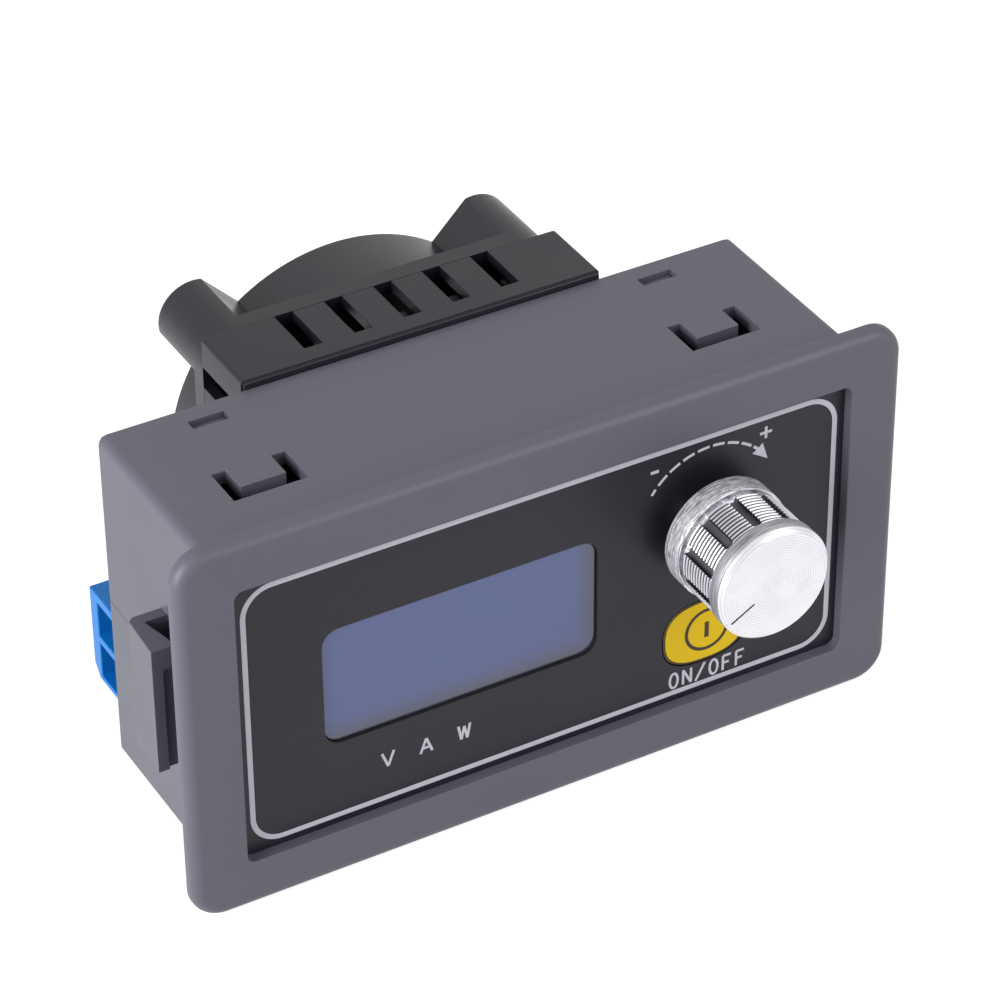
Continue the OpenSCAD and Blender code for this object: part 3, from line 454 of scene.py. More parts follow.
def rounded_outline(width: float, height: float, radius: float, centre: tuple[float, float] = (0, 0),
                    count: int = 12) -> np.ndarray:
    """Gives the outline of a rectangle with round corners: four quarter circles, one at each corner."""
    across, up = width / 2 - radius, height / 2 - radius
    corners = [(across, up, 0), (-across, up, 90), (-across, -up, 180), (across, -up, 270)]
    return np.concatenate([arc((centre[0] + x, centre[1] + z), radius, turn, turn + 90, count)
                           for x, z, turn in corners])


def line(path: np.ndarray, width: Union[float, np.ndarray], height: float, sink: float,
         closed: bool = False) -> Shape:
    """Lays a raised line along a path on a flat face.

    The section is a rectangle of the line's width, from sink below the face to height above it. It
    is carried along the path square to the path's tangent, which comes from neighbouring points.

    Args:
        path: Points across and up the face, in millimetres.
        width: The line's width, for all points or for each one.
        height: How far the line stands out of the face.
        sink: How far it reaches into the face.
        closed: Whether the path joins its own start.

    Returns:
        Points across, up and out of the face, and the faces between them.
    """
    ahead = np.roll(path, -1, axis=0)
    behind = np.roll(path, 1, axis=0)
    if not closed:
        ahead[-1] = path[-1]
        behind[0] = path[0]
    tangent = ahead - behind
    tangent /= np.linalg.norm(tangent, axis=1, keepdims=True)
    side = np.stack([-tangent[:, 1], tangent[:, 0]], axis=1) * np.broadcast_to(width, len(path))[:, None] / 2
    corners = np.stack([path + side, path + side, path - side, path - side], axis=1)
    out = np.broadcast_to(np.array([-sink, height, height, -sink]), (len(path), 4))
    points = np.concatenate([corners, out[:, :, None]], axis=2).reshape(-1, 3)
    faces = quads_between(len(path), 4, closed, True).tolist()
    if not closed:
        last = 4 * len(path) - 4
        faces += [[3, 2, 1, 0], [last, last + 1, last + 2, last + 3]]
    return points, faces


def plate(outline: np.ndarray, height: float, sink: float) -> Shape:
    """Raises a flat outline to a thin plate: the outline twice, with a wall between and a face on each."""
    count = len(outline)
    low = np.c_[outline, np.full(count, -sink)]
    high = np.c_[outline, np.full(count, height)]
    walls = quads_between(2, count, False, True).tolist()
    return np.concatenate([low, high]), walls + [list(range(count))[::-1], list(range(count, 2 * count))]


def joined(shapes: Iterable[Shape]) -> Shape:
    """Joins shapes to one list of points and faces."""
    points, faces, start = [], [], 0
    for shape_points, shape_faces in shapes:
        points.append(shape_points)
        faces += [[index + start for index in face] for face in shape_faces]
        start += len(shape_points)
    return np.concatenate(points), faces


class Side(Enum):
    """The side of the object that a flat piece lies on."""

    FRONT = "front"
    LEFT = "left"
    RIGHT = "right"

    def place(self, points: np.ndarray, level: float) -> np.ndarray:
        """Puts points across, up and out of the face at a level, in millimetres, into the frame, in metres."""
        across, up, out = points.T
        if self is Side.FRONT:
            axes = [across, level - out, up]
        elif self is Side.LEFT:
            axes = [level - out, across, up]
        else:
            axes = [level + out, across, up]
        return np.stack(axes, axis=1) * MM


def gathered(items: Any, name: str, width: int = 3, kind: type = float) -> np.ndarray:
    """Reads a value of all of a mesh's points, corners or faces to an array with width numbers in a row."""
    values = np.empty(width * len(items), dtype=kind)
    items.foreach_get(name, values)
    return values.reshape(-1, width)


def new_piece(name: str, points: np.ndarray, faces: list[list[int]],
              smooth_angle: float = 30.0) -> bpy.types.Object:
    """Makes a mesh object from points in metres, with its doubles merged and its faces turned outwards.

    Args:
        name: The piece's name.
        points: Points in the frame.
        faces: Lists of point numbers.
        smooth_angle: Edges sharper than this stay sharp, in degrees.

    Returns:
        The new object, linked to the scene.
    """
    mesh = bpy.data.meshes.new(name)
    mesh.from_pydata(points.tolist(), [], faces)
    work = bmesh.new()
    work.from_mesh(mesh)
    bmesh.ops.remove_doubles(work, verts=work.verts, dist=1e-7)
    bmesh.ops.recalc_face_normals(work, faces=work.faces)
    work.to_mesh(mesh)
    work.free()
    return shown(name, mesh, smooth_angle)


def shown(name: str, mesh: bpy.types.Mesh, smooth_angle: float) -> bpy.types.Object:
    """Shades a mesh smooth up to an angle and links it to the scene as an object."""
    mesh.polygons.foreach_set("use_smooth", np.ones(len(mesh.polygons), dtype=bool))
    mesh.set_sharp_from_angle(angle=math.radians(smooth_angle))
    piece = bpy.data.objects.new(name, mesh)
    bpy.context.scene.collection.objects.link(piece)
    return piece


class Workshop:
    """Holds the loaded frame and puts finished pieces on it."""

    def __init__(self, frame: dict[str, Any]) -> None:
        self.nodes = frame["nodes"]
        bodies = frame["record"]["behaviour"]["bodies"]
        self.body_of = {node: body for body, members in bodies.items() for node in members}
        self.made: dict[Any, bpy.types.Material] = {}

    def box(self, node: str) -> tuple[np.ndarray, np.ndarray]:
        """Gives a node's lowest and highest corner in millimetres."""
        low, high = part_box(node)
        return np.array(low) / MM, np.array(high) / MM

    def finish(self, finish: Any) -> bpy.types.Material:
        """Builds a finish once and gives the same material again after that."""
        if finish not in self.made:
            self.made[finish] = finish.material()
        return self.made[finish]

    def coat(self, node: str, finish: Any) -> None:
        """Gives a node that shows as it is a finish on all of its slots."""
        for slot in self.nodes[node].material_slots:
            slot.material = self.finish(finish)
        LOG.info("coated %s with %s", node, finish.name)

    def soften(self, node: str, finish: Any, edge_mm: float = 0.14, sharp: float = 28.0,
               join_flats: bool = True) -> None:
        """Stands a copy of a node with broken edges in the node's place.

        The copy's loose triangles are welded, flat faces are joined, and each edge that is sharper than
        the limit gets a small round, as a mould or a tool leaves it. The copy rides on the node's body.

        Args:
            node: The node's name.
            finish: The finish of the copy.
            edge_mm: Width of the broken edge, or zero to leave the edges as they are.
            sharp: The limit for an edge to be broken, in degrees.
            join_flats: Whether flat faces are joined first and cut into triangles anew.
        """
        source = self.nodes[node].data
        triangles = gathered(source.loops, "vertex_index", 1, np.int32).reshape(-1, 3)
        mesh = bpy.data.meshes.new(f"{node}_soft")
        mesh.from_pydata(gathered(source.vertices, "co").tolist(), [], triangles.tolist())
        work = bmesh.new()
        work.from_mesh(mesh)
        bmesh.ops.remove_doubles(work, verts=work.verts, dist=WELD)
        bmesh.ops.dissolve_degenerate(work, edges=work.edges, dist=WELD)
        if join_flats:
            bmesh.ops.dissolve_limit(work, angle_limit=math.radians(FLAT), verts=work.verts, edges=work.edges)
            bmesh.ops.triangulate(work, faces=[face for face in work.faces if len(face.verts) > 4])
        work.to_mesh(mesh)
        work.free()
        piece = shown(f"{node}_soft", mesh, sharp)
        if edge_mm > 0:
            edge = piece.modifiers.new("broken_edge", "BEVEL")
            edge.width = edge_mm * MM
            edge.segments = EDGE_SEGMENTS
            edge.limit_method = "ANGLE"
            edge.angle_limit = math.radians(sharp)
            edge.use_clamp_overlap = False
            edge.harden_normals = True
        self.seat(piece, finish, self.body_of[node])
        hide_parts(node)

    def seat(self, piece: bpy.types.Object, finish: Any, body: str) -> None:
        """Gives a new piece its finish and lets it ride on a body."""
        piece.data.materials.clear()
        piece.data.materials.append(self.finish(finish))
        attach(piece, body)
        LOG.info("seated %s on %s with %s", piece.name, body, finish.name)


# Grey ABS from a spark-eroded mould: an even satin grey, its grain drawn coarser than the real 0.1 mm
CASE_PLASTIC = MouldedPlastic("grey_abs", "#5c5c68", "#5f5f6b", roughness=0.46)
COVER_PLASTIC = MouldedPlastic("grey_abs_cover", "#5c5c65", "#5f5f68", roughness=0.5)
# Black mouldings: smooth and dark, so that only their edges and soft highlights show
BLACK_PLASTIC = MouldedPlastic("black_abs", "#232326", "#262629", roughness=0.4)
DUCT_PLASTIC = MouldedPlastic("black_glass_filled_nylon", "#191820", "#1d1b24", 0.3, 0.01, 0.4, 0.38)
FAN_PLASTIC = MouldedPlastic("black_pbt", "#1b1a22", "#1f1e26", 0.4, 0.006, 0.32, 0.4)
# Bright mouldings: strong colour with a faint gloss
KEY_PLASTIC = MouldedPlastic("yellow_abs", "#f3ca00", "#f6cf04", 0.2, 0.008, 0.42, 0.3)
TERMINAL_PLASTIC = MouldedPlastic("blue_polyamide", "#0474c8", "#087bd0", 0.3, 0.006, 0.36, 0.35)
# White slippery plastic and the milky plate that spreads the display's light
WHITE_PLASTIC = MouldedPlastic("white_pom", "#dcdad2", "#d3d1c8", 0.3, 0.005, 0.4)
LIGHT_GUIDE = MouldedPlastic("milky_acrylic", "#d9dbe2", "#d0d2da", 0.3, 0.004, 0.25)
# Filled epoxy and bonded ferrite: dull and dark, with a visible grit
CHIP_EPOXY = MouldedPlastic("black_epoxy", "#1b1b1d", "#202023", 0.12, 0.008, 0.55)
MAGNET_RUBBER = MouldedPlastic("ferrite_rubber", "#2b2826", "#322f2c", 0.2, 0.01, 0.6)
# Inks: pale lines that stand a little out of the film, and dark ones on the key, whose dark ink also lays
# painted shade on the key's side
WHITE_INK = PrintedInk("white_screen_ink", "#d4d3de", "#cfced9")
KEY_INK_AND_SIDE_SHADE = PrintedInk("brown_pad_ink_and_side_shade", "#301d00", "#382300")
# Plated steel and brass: cool and warm sheens with fine drawing lines
ZINC_STEEL = PlainMetal("zinc_plated_steel", "#b9bbc0", "#a7a9ae", 0.28)
TINNED_BRASS = PlainMetal("tinned_brass", "#c9c2a4", "#b8b091", 0.3)
SPRING_BRASS = PlainMetal("spring_brass", "#c69a45", "#b3873a", 0.3)
# Enamelled wire: deep red-brown turns that lie side by side
WOUND_COPPER = PlainMetal("enamelled_copper", "#9a5a2c", "#844a22", 0.35, (3.0, 0.15, 3.0), 0.02)
# Extruded aluminium, plain and black anodised: long lines of the die
EXTRUDED_ALUMINIUM = PlainMetal("extruded_aluminium", "#b4b6ba", "#a4a6ab", 0.34, (0.25, 0.25, 6.0), 0.006)
ANODISED_ALUMINIUM = PlainMetal("black_anodised_aluminium", "#37373b", "#3e3e42", 0.42, (0.25, 0.25, 6.0), 0.006)
# A capacitor's can in its shrunk sleeve: dark, with a soft sheen
DRAWN_CAN = PlainMetal("sleeved_can", "#2a2c38", "#242632", 0.4)


@dataclass
class CaseShell:
    """The moulded case with its bezel, tongues and clips, and the rear cover behind it."""

    parting_z: float = -0.2
    parting_w: float = 0.12
    parting_out: float = 0.025
    parting_sink: float = 0.1
    parting_start: float = 10.9
    parting_short: float = 0.3
    parting_points: int = 9
    wall_t: float = 1.8

    def build(self, shop: Workshop) -> None:
        """Softens the case's edges and lays the parting line on the side walls."""
        shop.soften("case", CASE_PLASTIC, edge_mm=0.12)
        shop.soften("rear_cover", COVER_PLASTIC, edge_mm=0)
        _, back = shop.box("rear_cover")
        wall = back[0] + self.wall_t
        along = np.linspace(self.parting_start, back[1] - self.parting_short, self.parting_points)
        path = np.stack([along, np.full(self.parting_points, self.parting_z)], axis=1)
        points, faces = line(path, self.parting_w, self.parting_out, self.parting_sink)
        for side, sign in ((Side.LEFT, -1), (Side.RIGHT, 1)):
            piece = new_piece(f"parting_line_{side.value}", side.place(points, sign * wall), faces)
            shop.seat(piece, CASE_PLASTIC, "housing")


@dataclass
class FrontFace:
    """The printed film over its plate, the display behind the window, and the oval key."""

    ink_out: float = 0.014
    ink_sink: float = 0.02
    frame_w: float = 65.5
    frame_h: float = 30.5
    frame_r: float = 3.4
    frame_line: float = 0.56
    frame_centre: tuple[float, float] = (0.08, -0.1)
    turn_centre: tuple[float, float] = (18.17, 5.76)
    turn_r: float = 7.9
    turn_line: float = 0.3
    dash_start: float = 146.2
    dash_pitch: float = 12.45
    dash_turn: float = 9.6
    first_dash_turn: float = 5.2
    dash_count: int = 8
    dash_points: int = 9
    # The first dash is short, so the others stand this much nearer to it, in degrees
    dash_shift: float = 3.95
    last_dash: tuple[float, float] = (50.8, 46.0)
    arrow_head: tuple[tuple[float, float], ...] = ((24.82, 9.94), (24.18, 11.98), (23.58, 11.4), (23.02, 11.1))
    plus_centre: tuple[float, float] = (24.53, 13.11)
    plus_half: float = 0.69
    minus_centre: tuple[float, float] = (11.91, 12.82)
    minus_half: float = 0.45
    minus_line: float = 0.34
    # Ink that crosses other ink lies this much higher, so that no two faces share a plane
    cross_lift: float = 0.003
    stroke_lift: float = 0.002
    round_points: int = 40
    letter_h: float = 1.78
    letter_line: float = 0.28
    letter_pitch: float = 1.56
    letter_w: float = 0.92
    label_x: float = 14.1
    label_z: float = -14.5
    units_x: float = -18.4
    units_z: float = -11.3
    units_pitch: float = 4.2
    units_w: float = 1.3
    units_h: float = 1.7
    symbol_x: float = 0.2
    symbol_r: float = 2.37
    symbol_line: float = 0.38
    symbol_points: int = 64
    bar_reach: tuple[float, float] = (-1.0, 0.9)
    bar_line: float = 0.5
    key_power: float = 2.65
    key_points: int = 144
    key_rim: float = 0.7
    key_rim_t: float = 0.8
    key_edge: float = 0.06
    key_edge_rows: int = 6
    key_wall: float = 0.2
    key_face: float = 1.2
    # The share of the round edge, from the front, that stays yellow
    key_yellow_edge: float = 0.3
    key_line: float = 0.2
    window_inset: tuple[float, float] = (4.0, 3.2)

    def ink(self, path: Any, width: Union[float, np.ndarray], closed: bool = False, lift: float = 0) -> Shape:
        """Draws one line of ink, lifted a little where it crosses another."""
        return line(np.asarray(path, dtype=float), width, self.ink_out + lift, self.ink_sink, closed)

    def border(self) -> Shape:
        """Draws the line round the film: a closed path along a rectangle with round corners."""
        line_w = self.frame_line
        outline = rounded_outline(self.frame_w - line_w, self.frame_h - line_w, self.frame_r - line_w / 2,
                                  self.frame_centre)
        return self.ink(outline, line_w, closed=True)

    def turn_arrow(self) -> Shape:
        """Draws the dashed arc over the knob, its swept-back head and the two signs at its ends."""
        others = self.dash_count - 1
        starts = self.dash_start - self.dash_pitch * np.arange(self.dash_count)
        starts[1:] += self.dash_shift
        spans = np.r_[self.first_dash_turn, np.full(others, self.dash_turn)]
        dashes = [(start, start - span, self.dash_points) for start, span in zip(starts, spans)]
        dashes.append((*self.last_dash, self.dash_points // 2 + 1))
        shapes = [self.ink(arc(self.turn_centre, self.turn_r, *dash), self.turn_line) for dash in dashes]
        shapes.append(plate(np.array(self.arrow_head), self.ink_out + self.cross_lift, self.ink_sink))
        level, upright = np.array([1, 0]), np.array([0, 1])
        shapes.append(self.stroke(self.plus_centre, self.plus_half * level, self.turn_line))
        shapes.append(self.stroke(self.plus_centre, self.plus_half * upright, self.turn_line, self.cross_lift))
        shapes.append(self.stroke(self.minus_centre, self.minus_half * level, self.minus_line))
        return joined(shapes)

    def stroke(self, centre: tuple[float, float], reach: np.ndarray, width: float, lift: float = 0) -> Shape:
        """Draws a straight stroke that reaches equally far to both sides of its centre."""
        return self.ink(np.array([centre - reach, centre + reach]), width, lift=lift)

    def letter(self, name: str, x: float, z: float, w: float, h: float) -> list[Shape]:
        """Draws one plain letter of straight strokes and ellipses in a box of width w and height h.

        Args:
            name: The letter.
            x: Left edge.
            z: Lower edge.
            w: Width.
            h: Height.

        Returns:
            One shape for each stroke.
        """
        strokes: dict[str, list[list[tuple[float, float]]]] = {
            "N": [[(0, 0), (0, 1)], [(0, 1), (1, 0)], [(1, 0), (1, 1)]],
            "/": [[(-0.1, -0.06), (1.05, 1.06)]],
            "F": [[(0, 0), (0, 1)], [(0, 1), (1, 1)], [(0, 0.52), (0.75, 0.52)]],
            "V": [[(0, 1), (0.5, 0)], [(0.5, 0), (1, 1)]],
            "A": [[(0, 0), (0.5, 1)], [(0.5, 1), (1, 0)], [(0.2, 0.34), (0.8, 0.34)]],
            "W": [[(0, 1), (0.25, 0)], [(0.25, 0), (0.5, 0.9)], [(0.5, 0.9), (0.75, 0)], [(0.75, 0), (1, 1)]],
        }
        if name == "O":
            angle = np.linspace(0, math.tau, self.round_points, endpoint=False)
            ring = np.stack([x + w / 2 * (1 + np.cos(angle)), z + h / 2 * (1 + np.sin(angle))], axis=1)
            return [self.ink(ring, self.letter_line, closed=True)]
        return [self.ink(np.array(stroke) * (w, h) + (x, z), self.letter_line, lift=self.stroke_lift * order)
                for order, stroke in enumerate(strokes[name])]

    def words(self) -> Shape:
        """Draws the switch's own words under the key and the letters of the units under the display."""
        shapes: list[Shape] = []
        for place, name in enumerate("ON/OFF"):
            shapes += self.letter(name, self.label_x + place * self.letter_pitch, self.label_z,
                                  self.letter_w, self.letter_h)
        for place, name in enumerate("VAW"):
            shapes += self.letter(name, self.units_x + place * self.units_pitch, self.units_z,
                                  self.units_w, self.units_h)
        return joined(shapes)

    def power_symbol(self, box: tuple[np.ndarray, np.ndarray]) -> Shape:
        """Draws the general on and off sign: a ring with an upright bar in it, within the key's border."""
        centre = np.mean(box, axis=0)
        middle = (centre[0] + self.symbol_x, centre[2])
        circle = arc(middle, self.symbol_r, 0, 360, self.symbol_points + 1)[:-1]
        ring = self.ink(circle, self.symbol_line, closed=True)
        bar = self.ink([[middle[0], middle[1] + reach] for reach in self.bar_reach], self.bar_line)
        return joined([ring, bar, self.key_border(box)])

    def key_border(self, box: tuple[np.ndarray, np.ndarray]) -> Shape:
        """Draws the dark line just inside the key's round edge."""
        off = 2 * (self.key_rim + self.key_edge / 2) + self.key_line
        size, centre = box[1] - box[0] - off, np.mean(box, axis=0)
        return self.ink(self.key_outline(size[0], size[2]) + centre[[0, 2]], self.key_line, closed=True)

    def key_outline(self, width: float, height: float) -> np.ndarray:
        """Gives the key's outline: a superellipse, with cosine and sine raised to two over its power."""
        angle = np.linspace(0, math.tau, self.key_points, endpoint=False)
        cosine, sine = np.cos(angle), np.sin(angle)
        power = 2 / self.key_power
        return np.stack([width / 2 * np.sign(cosine) * np.abs(cosine) ** power,
                         height / 2 * np.sign(sine) * np.abs(sine) ** power], axis=1)

    def key_cap(self, shop: Workshop) -> None:
        """Makes the key: its outline carried from the hidden rim to a front face with a round edge.

        Each row is the outline at one width and depth, so a row list of widths taken off and depths gives the
        rim, the side, a quarter round and the flat face, closed in its middle. The side is dark with painted
        shade, in the dark ink's finish.

        Args:
            shop: The workshop that holds the frame.
        """
        low, high = shop.box("on_off_key")
        centre = np.mean([low, high], axis=0)
        width, height = high[0] - low[0], high[2] - low[2]
        rim, edge = self.key_rim, self.key_edge
        turn = np.linspace(0, math.pi / 2, self.key_edge_rows)
        inset = np.r_[width, 0, 0, rim, rim, rim + edge * (1 - np.cos(turn)), rim + edge + self.key_face, width]
        front, back = low[1], high[1]
        rim_y = back - self.key_rim_t
        depth = np.r_[back, back, rim_y, rim_y, front + edge + self.key_wall,
                      front + edge * (1 - np.sin(turn)), front, front]
        rows = [self.key_outline(max(width - 2 * off, 0), max(height - 2 * off, 0)) for off in inset]
        points = np.stack([np.c_[row[:, 0] + centre[0], np.full(len(row), y), row[:, 1] + centre[2]]
                           for row, y in zip(rows, depth)])
        faces = quads_between(len(rows), points.shape[1], False, True).tolist()
        piece = new_piece("key_cap", points.reshape(-1, 3) * MM, faces)
        shop.seat(piece, KEY_PLASTIC, "power_key")
        piece.data.materials.append(shop.finish(KEY_INK_AND_SIDE_SHADE))
        # Painted shade: the side and the back of the round edge take the dark ink
        painted_side_shade = gathered(piece.data.polygons, "center")[:, 1] / MM > front + self.key_yellow_edge * edge
        piece.data.polygons.foreach_set("material_index", painted_side_shade.astype(np.int32))
        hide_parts("on_off_key")

    def build(self, shop: Workshop) -> None:
        """Coats the film and display, makes the key and prints everything."""
        film_front = shop.box("overlay_film")[0][1]
        key_front = shop.box("on_off_key")[0][1]
        low, high = shop.box("lcd_glass")
        display = (low + high) / 2
        window_size = (high[0] - low[0] - self.window_inset[0], high[2] - low[2] - self.window_inset[1])
        shop.coat("overlay_film", PrintedFilm())
        shop.coat("front_panel", BLACK_PLASTIC)
        cell = DisplayCell((float(display[0]), float(display[2])), window_size)
        shop.soften("lcd_glass", cell, edge_mm=0.1)
        shop.coat("lcd_backlight", LIGHT_GUIDE)
        shop.coat("display_board", SolderMask())
        shop.coat("switch_body", CHIP_EPOXY)
        shop.coat("switch_plunger", WHITE_PLASTIC)
        self.key_cap(shop)
        prints = {"border_line": self.border(), "turn_arrow": self.turn_arrow(), "front_words": self.words()}
        for name, (points, faces) in prints.items():
            shop.seat(new_piece(name, Side.FRONT.place(points, film_front), faces), WHITE_INK, "housing")
        points, faces = self.power_symbol(shop.box("on_off_key"))
        shop.seat(new_piece("power_symbol", Side.FRONT.place(points, key_front), faces), KEY_INK_AND_SIDE_SHADE, "power_key")


@dataclass
class Knob:
    """The encoder with its push-on knob, turned from bar with a ridged and notched grip."""

    radius: float = 6.25
    skirt: float = 2.6
    groove: float = 0.4
    groove_d: float = 0.7
    ring: float = 2.2
    grip_inset: float = 0.18
    ridges: int = 11
    ridge_d: float = 0.2
    notches: int = 11
    notch_w: float = 0.9
    notch_d: float = 0.65
    notch_turn: float = 97.0
    notch_run_out: float = 0.9
    chamfer: float = 0.5
    bore_r: float = 4.43
    bore_depth: float = 8.27
    mark_turn: float = 210.0
    mark_w: float = 0.2
    mark_d: float = 0.16
    mark_r: float = 2.8
    columns: int = 396
    ridge_rows: int = 10
    # Rounds and chamfers of the turned edges, and the small steps that keep a wall's rows apart
    base_edge: float = 0.25
    base_edge_middle: float = 0.07
    skirt_rows: tuple[float, float] = (0.9, 1.8)
    skirt_edge: tuple[float, float] = (0.1, 0.12)
    step: float = 0.02
    ring_foot: float = 0.3
    ring_edge: tuple[float, float] = (0.12, 0.15)
    ring_row: float = 0.9
    rim_edge: float = 0.03
    face_rows: tuple[float, ...] = (5.6, 5.2, 4.6, 4.0, 3.4)
    inner_rows: tuple[float, ...] = (2.2, 1.4, 0.6, 0)
    mark_end: float = 0.12
    notch_flank: float = 0.1
    mark_flank: float = 0.03
    # The mark's depth that counts as one in its painted shade, as a share of its real depth, and the deepest
    # that it counts
    mark_shade: float = 1.6
    mark_darkest: float = 0.4
    # How far from the bore or the rim a row has to lie to count as clear of it
    clear: float = 0.1
    slack: float = 0.01
    smooth_angle: float = 40.0
    GROOVE_SHADE: ClassVar[str] = "groove_shade"

    def profile(self, length: float) -> tuple[np.ndarray, np.ndarray]:
        """Gives the turned outline from the end of the bore, round the base and on to the face's middle.

        The grip's radius is a cosine squared of the distance along it, one wave to each ridge.

        Args:
            length: The knob's length.

        Returns:
            Radius and distance from the base for each row.
        """
        grip_start, grip_end = self.skirt + self.groove, length - self.ring
        grip_r = self.radius - self.grip_inset
        along = np.linspace(grip_start, grip_end, self.ridges * self.ridge_rows + 1)
        wave = np.cos(math.pi * self.ridges * (along - grip_start) / (grip_end - grip_start)) ** 2
        grip = np.stack([grip_r - self.ridge_d * wave, along], axis=1)
        radius, groove_r = self.radius, self.radius - self.groove_d
        base = [(0, self.bore_depth), (self.bore_r, self.bore_depth), (self.bore_r, 0),
                (radius - self.base_edge, 0), (radius - self.base_edge_middle, self.base_edge_middle),
                (radius, self.base_edge), *((radius, row) for row in self.skirt_rows),
                (radius, self.skirt - self.skirt_edge[1]), (radius - self.skirt_edge[0], self.skirt),
                (groove_r, self.skirt + self.step), (groove_r, grip_start - self.step)]
        rim = length - self.chamfer
        front = [(grip_r - self.ring_foot, grip_end + self.step),
                 (radius - self.ring_edge[0], grip_end + self.rim_edge),
                 (radius, grip_end + self.ring_edge[1]), (radius, grip_end + self.ring_row),
                 (radius, rim - self.rim_edge - self.step), (radius - self.rim_edge, rim),
                 (radius - self.chamfer + 2 * self.step, length - self.rim_edge),
                 (radius - self.chamfer, length)]
        mark_rows = (self.mark_r + self.mark_end, self.mark_r, self.mark_r - self.mark_end)
        face = [(row, length) for row in (*self.face_rows, *mark_rows, *self.inner_rows)]
        rows = np.concatenate([np.array(base), grip, np.array(front), np.array(face)])
        return rows[:, 0], rows[:, 1]

    def surface(self, length: float) -> np.ndarray:
        """Works out the knob's points about its axis.

        The outline is turned through a full circle. Within a notch the radius drops to the notch's
        floor, which rises to the ring in a smooth ramp, and within the engraved mark the face drops.

        Args:
            length: The knob's length.

        Returns:
            An array of rows by columns by three: across, up, and distance from the base.
        """
        radius, along = self.profile(length)
        mark = math.radians(self.mark_turn)
        angle = mark + np.arange(self.columns) * math.tau / self.columns
        grip_r = self.radius - self.grip_inset
        grip_start, grip_end = self.skirt + self.groove, length - self.ring
        pitch = math.tau / self.notches
        off = (angle - math.radians(self.notch_turn) + pitch / 2) % pitch - pitch / 2
        half = (self.notch_w + self.notch_flank) / 2
        inside = np.clip((half - np.abs(off) * grip_r) / self.notch_flank, 0, 1)
        ramp = np.clip((along - (grip_end - self.notch_run_out)) / self.notch_run_out, 0, 1)
        floor = grip_r - self.notch_d * (1 - ramp ** 2 * (3 - 2 * ramp))
        outside = radius > self.bore_r + self.clear
        on_grip = (along >= grip_start - self.step - self.slack) & (along <= grip_end) & outside
        drop = np.where(on_grip, np.clip(radius - floor, 0, None), 0)
        turned = radius[:, None] - drop[:, None] * inside[None, :]
        face = (along > length - self.chamfer + self.clear) & (radius >= self.mark_r)
        aside = np.abs((angle - mark + math.pi) % math.tau - math.pi)[None, :] * turned
        cut = np.clip(1 - aside / (self.mark_w / 2 + self.mark_flank), 0, 1)
        engraved = cut * face[:, None] * self.mark_d
        depth = along[:, None] - engraved
        return np.stack([turned * np.cos(angle), turned * np.sin(angle), depth], axis=2)

    def build(self, shop: Workshop) -> None:
        """Turns the knob's cap and coats the encoder."""
        low, high = shop.box("knob_cap")
        axis = np.mean([low, high], axis=0)
        length = float(high[1] - low[1])
        grid = self.surface(length)
        rows, columns = grid.shape[:2]
        points = np.stack([axis[0] + grid[..., 0], high[1] - grid[..., 2], axis[2] + grid[..., 1]], axis=2)
        faces = quads_between(rows, columns, False, True)
        piece = new_piece("knob_turned", points.reshape(-1, 3) * MM, faces.tolist(), self.smooth_angle)
        spun = SpunAluminium((float(axis[0]), float(axis[2])))
        # Torn skirt and finely turned ring: pale metal that scatters light in streaks round the knob
        skirt = TurnedAluminium(math.tau * self.radius, length, "rough_turned_aluminium", "#f2f2f5", "#86868c",
                                0.4, (1.6, 0.2), (0.45, 0.3), 0.03)
        ring = TurnedAluminium(math.tau * self.radius, length, "fine_turned_aluminium", "#d6d6da", "#77777d",
                               0.8, (5.0, 0.14), (2.0, 0.1), 0.008)
        shop.seat(piece, spun, "knob")
        piece.data.materials.append(shop.finish(skirt))
        piece.data.materials.append(shop.finish(ring))
        self.mark_mesh(piece.data, axis, float(high[1]), length)
        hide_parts("knob_cap")
        shop.coat("encoder_body", ZINC_STEEL)
        shop.coat("encoder_plunger", WHITE_PLASTIC)
        shop.coat("encoder_shaft", EXTRUDED_ALUMINIUM)
        shop.coat("knob_insert", BLACK_PLASTIC)

    def mark_mesh(self, mesh: bpy.types.Mesh, axis: np.ndarray, base: float, length: float) -> None:
        """Marks the mesh for its finishes.

        The UV map holds the turn round the axis and the share of the length. The skirt and the ring get the
        second and the third finish. A point attribute says how deep each point lies: below the grip's crests, or
        below the face in the engraved mark; the spun finish paints shade by it.

        Args:
            mesh: The knob's mesh.
            axis: A point of the knob's axis, in millimetres.
            base: Where the knob's base lies along Y, in millimetres.
            length: The knob's length.
        """
        across, y, up = gathered(mesh.vertices, "co").T / MM
        radius, along = np.hypot(across - axis[0], up - axis[2]), base - y
        turn = np.arctan2(up - axis[2], across - axis[0]) / math.tau
        corners = gathered(mesh.loops, "vertex_index", 1, np.int32).ravel()
        uv = np.stack([np.abs(turn), along / length], axis=1)[corners]
        mesh.uv_layers.new(name="round").data.foreach_set("uv", uv.ravel())

        across, y, up = gathered(mesh.polygons, "center").T / MM
        depth = base - y
        outside = np.hypot(across - axis[0], up - axis[2]) > self.bore_r + self.clear
        skirt = (depth < self.skirt + self.slack) & outside
        ring = (depth > length - self.ring) & (depth < length - self.chamfer) & outside
        mesh.polygons.foreach_set("material_index", np.select([skirt, ring], [1, 2], 0).astype(np.int32))

        grip_start, grip_end = self.skirt + self.groove, length - self.ring
        on_grip = (along > grip_start + self.slack) & (along < grip_end + self.slack)
        below_crest = (self.radius - self.grip_inset - radius) / self.notch_d
        on_face = (radius < self.radius - self.chamfer - self.step) & (along > length - self.chamfer)
        below_face = np.clip((length - along) / (self.mark_shade * self.mark_d), 0, self.mark_darkest)
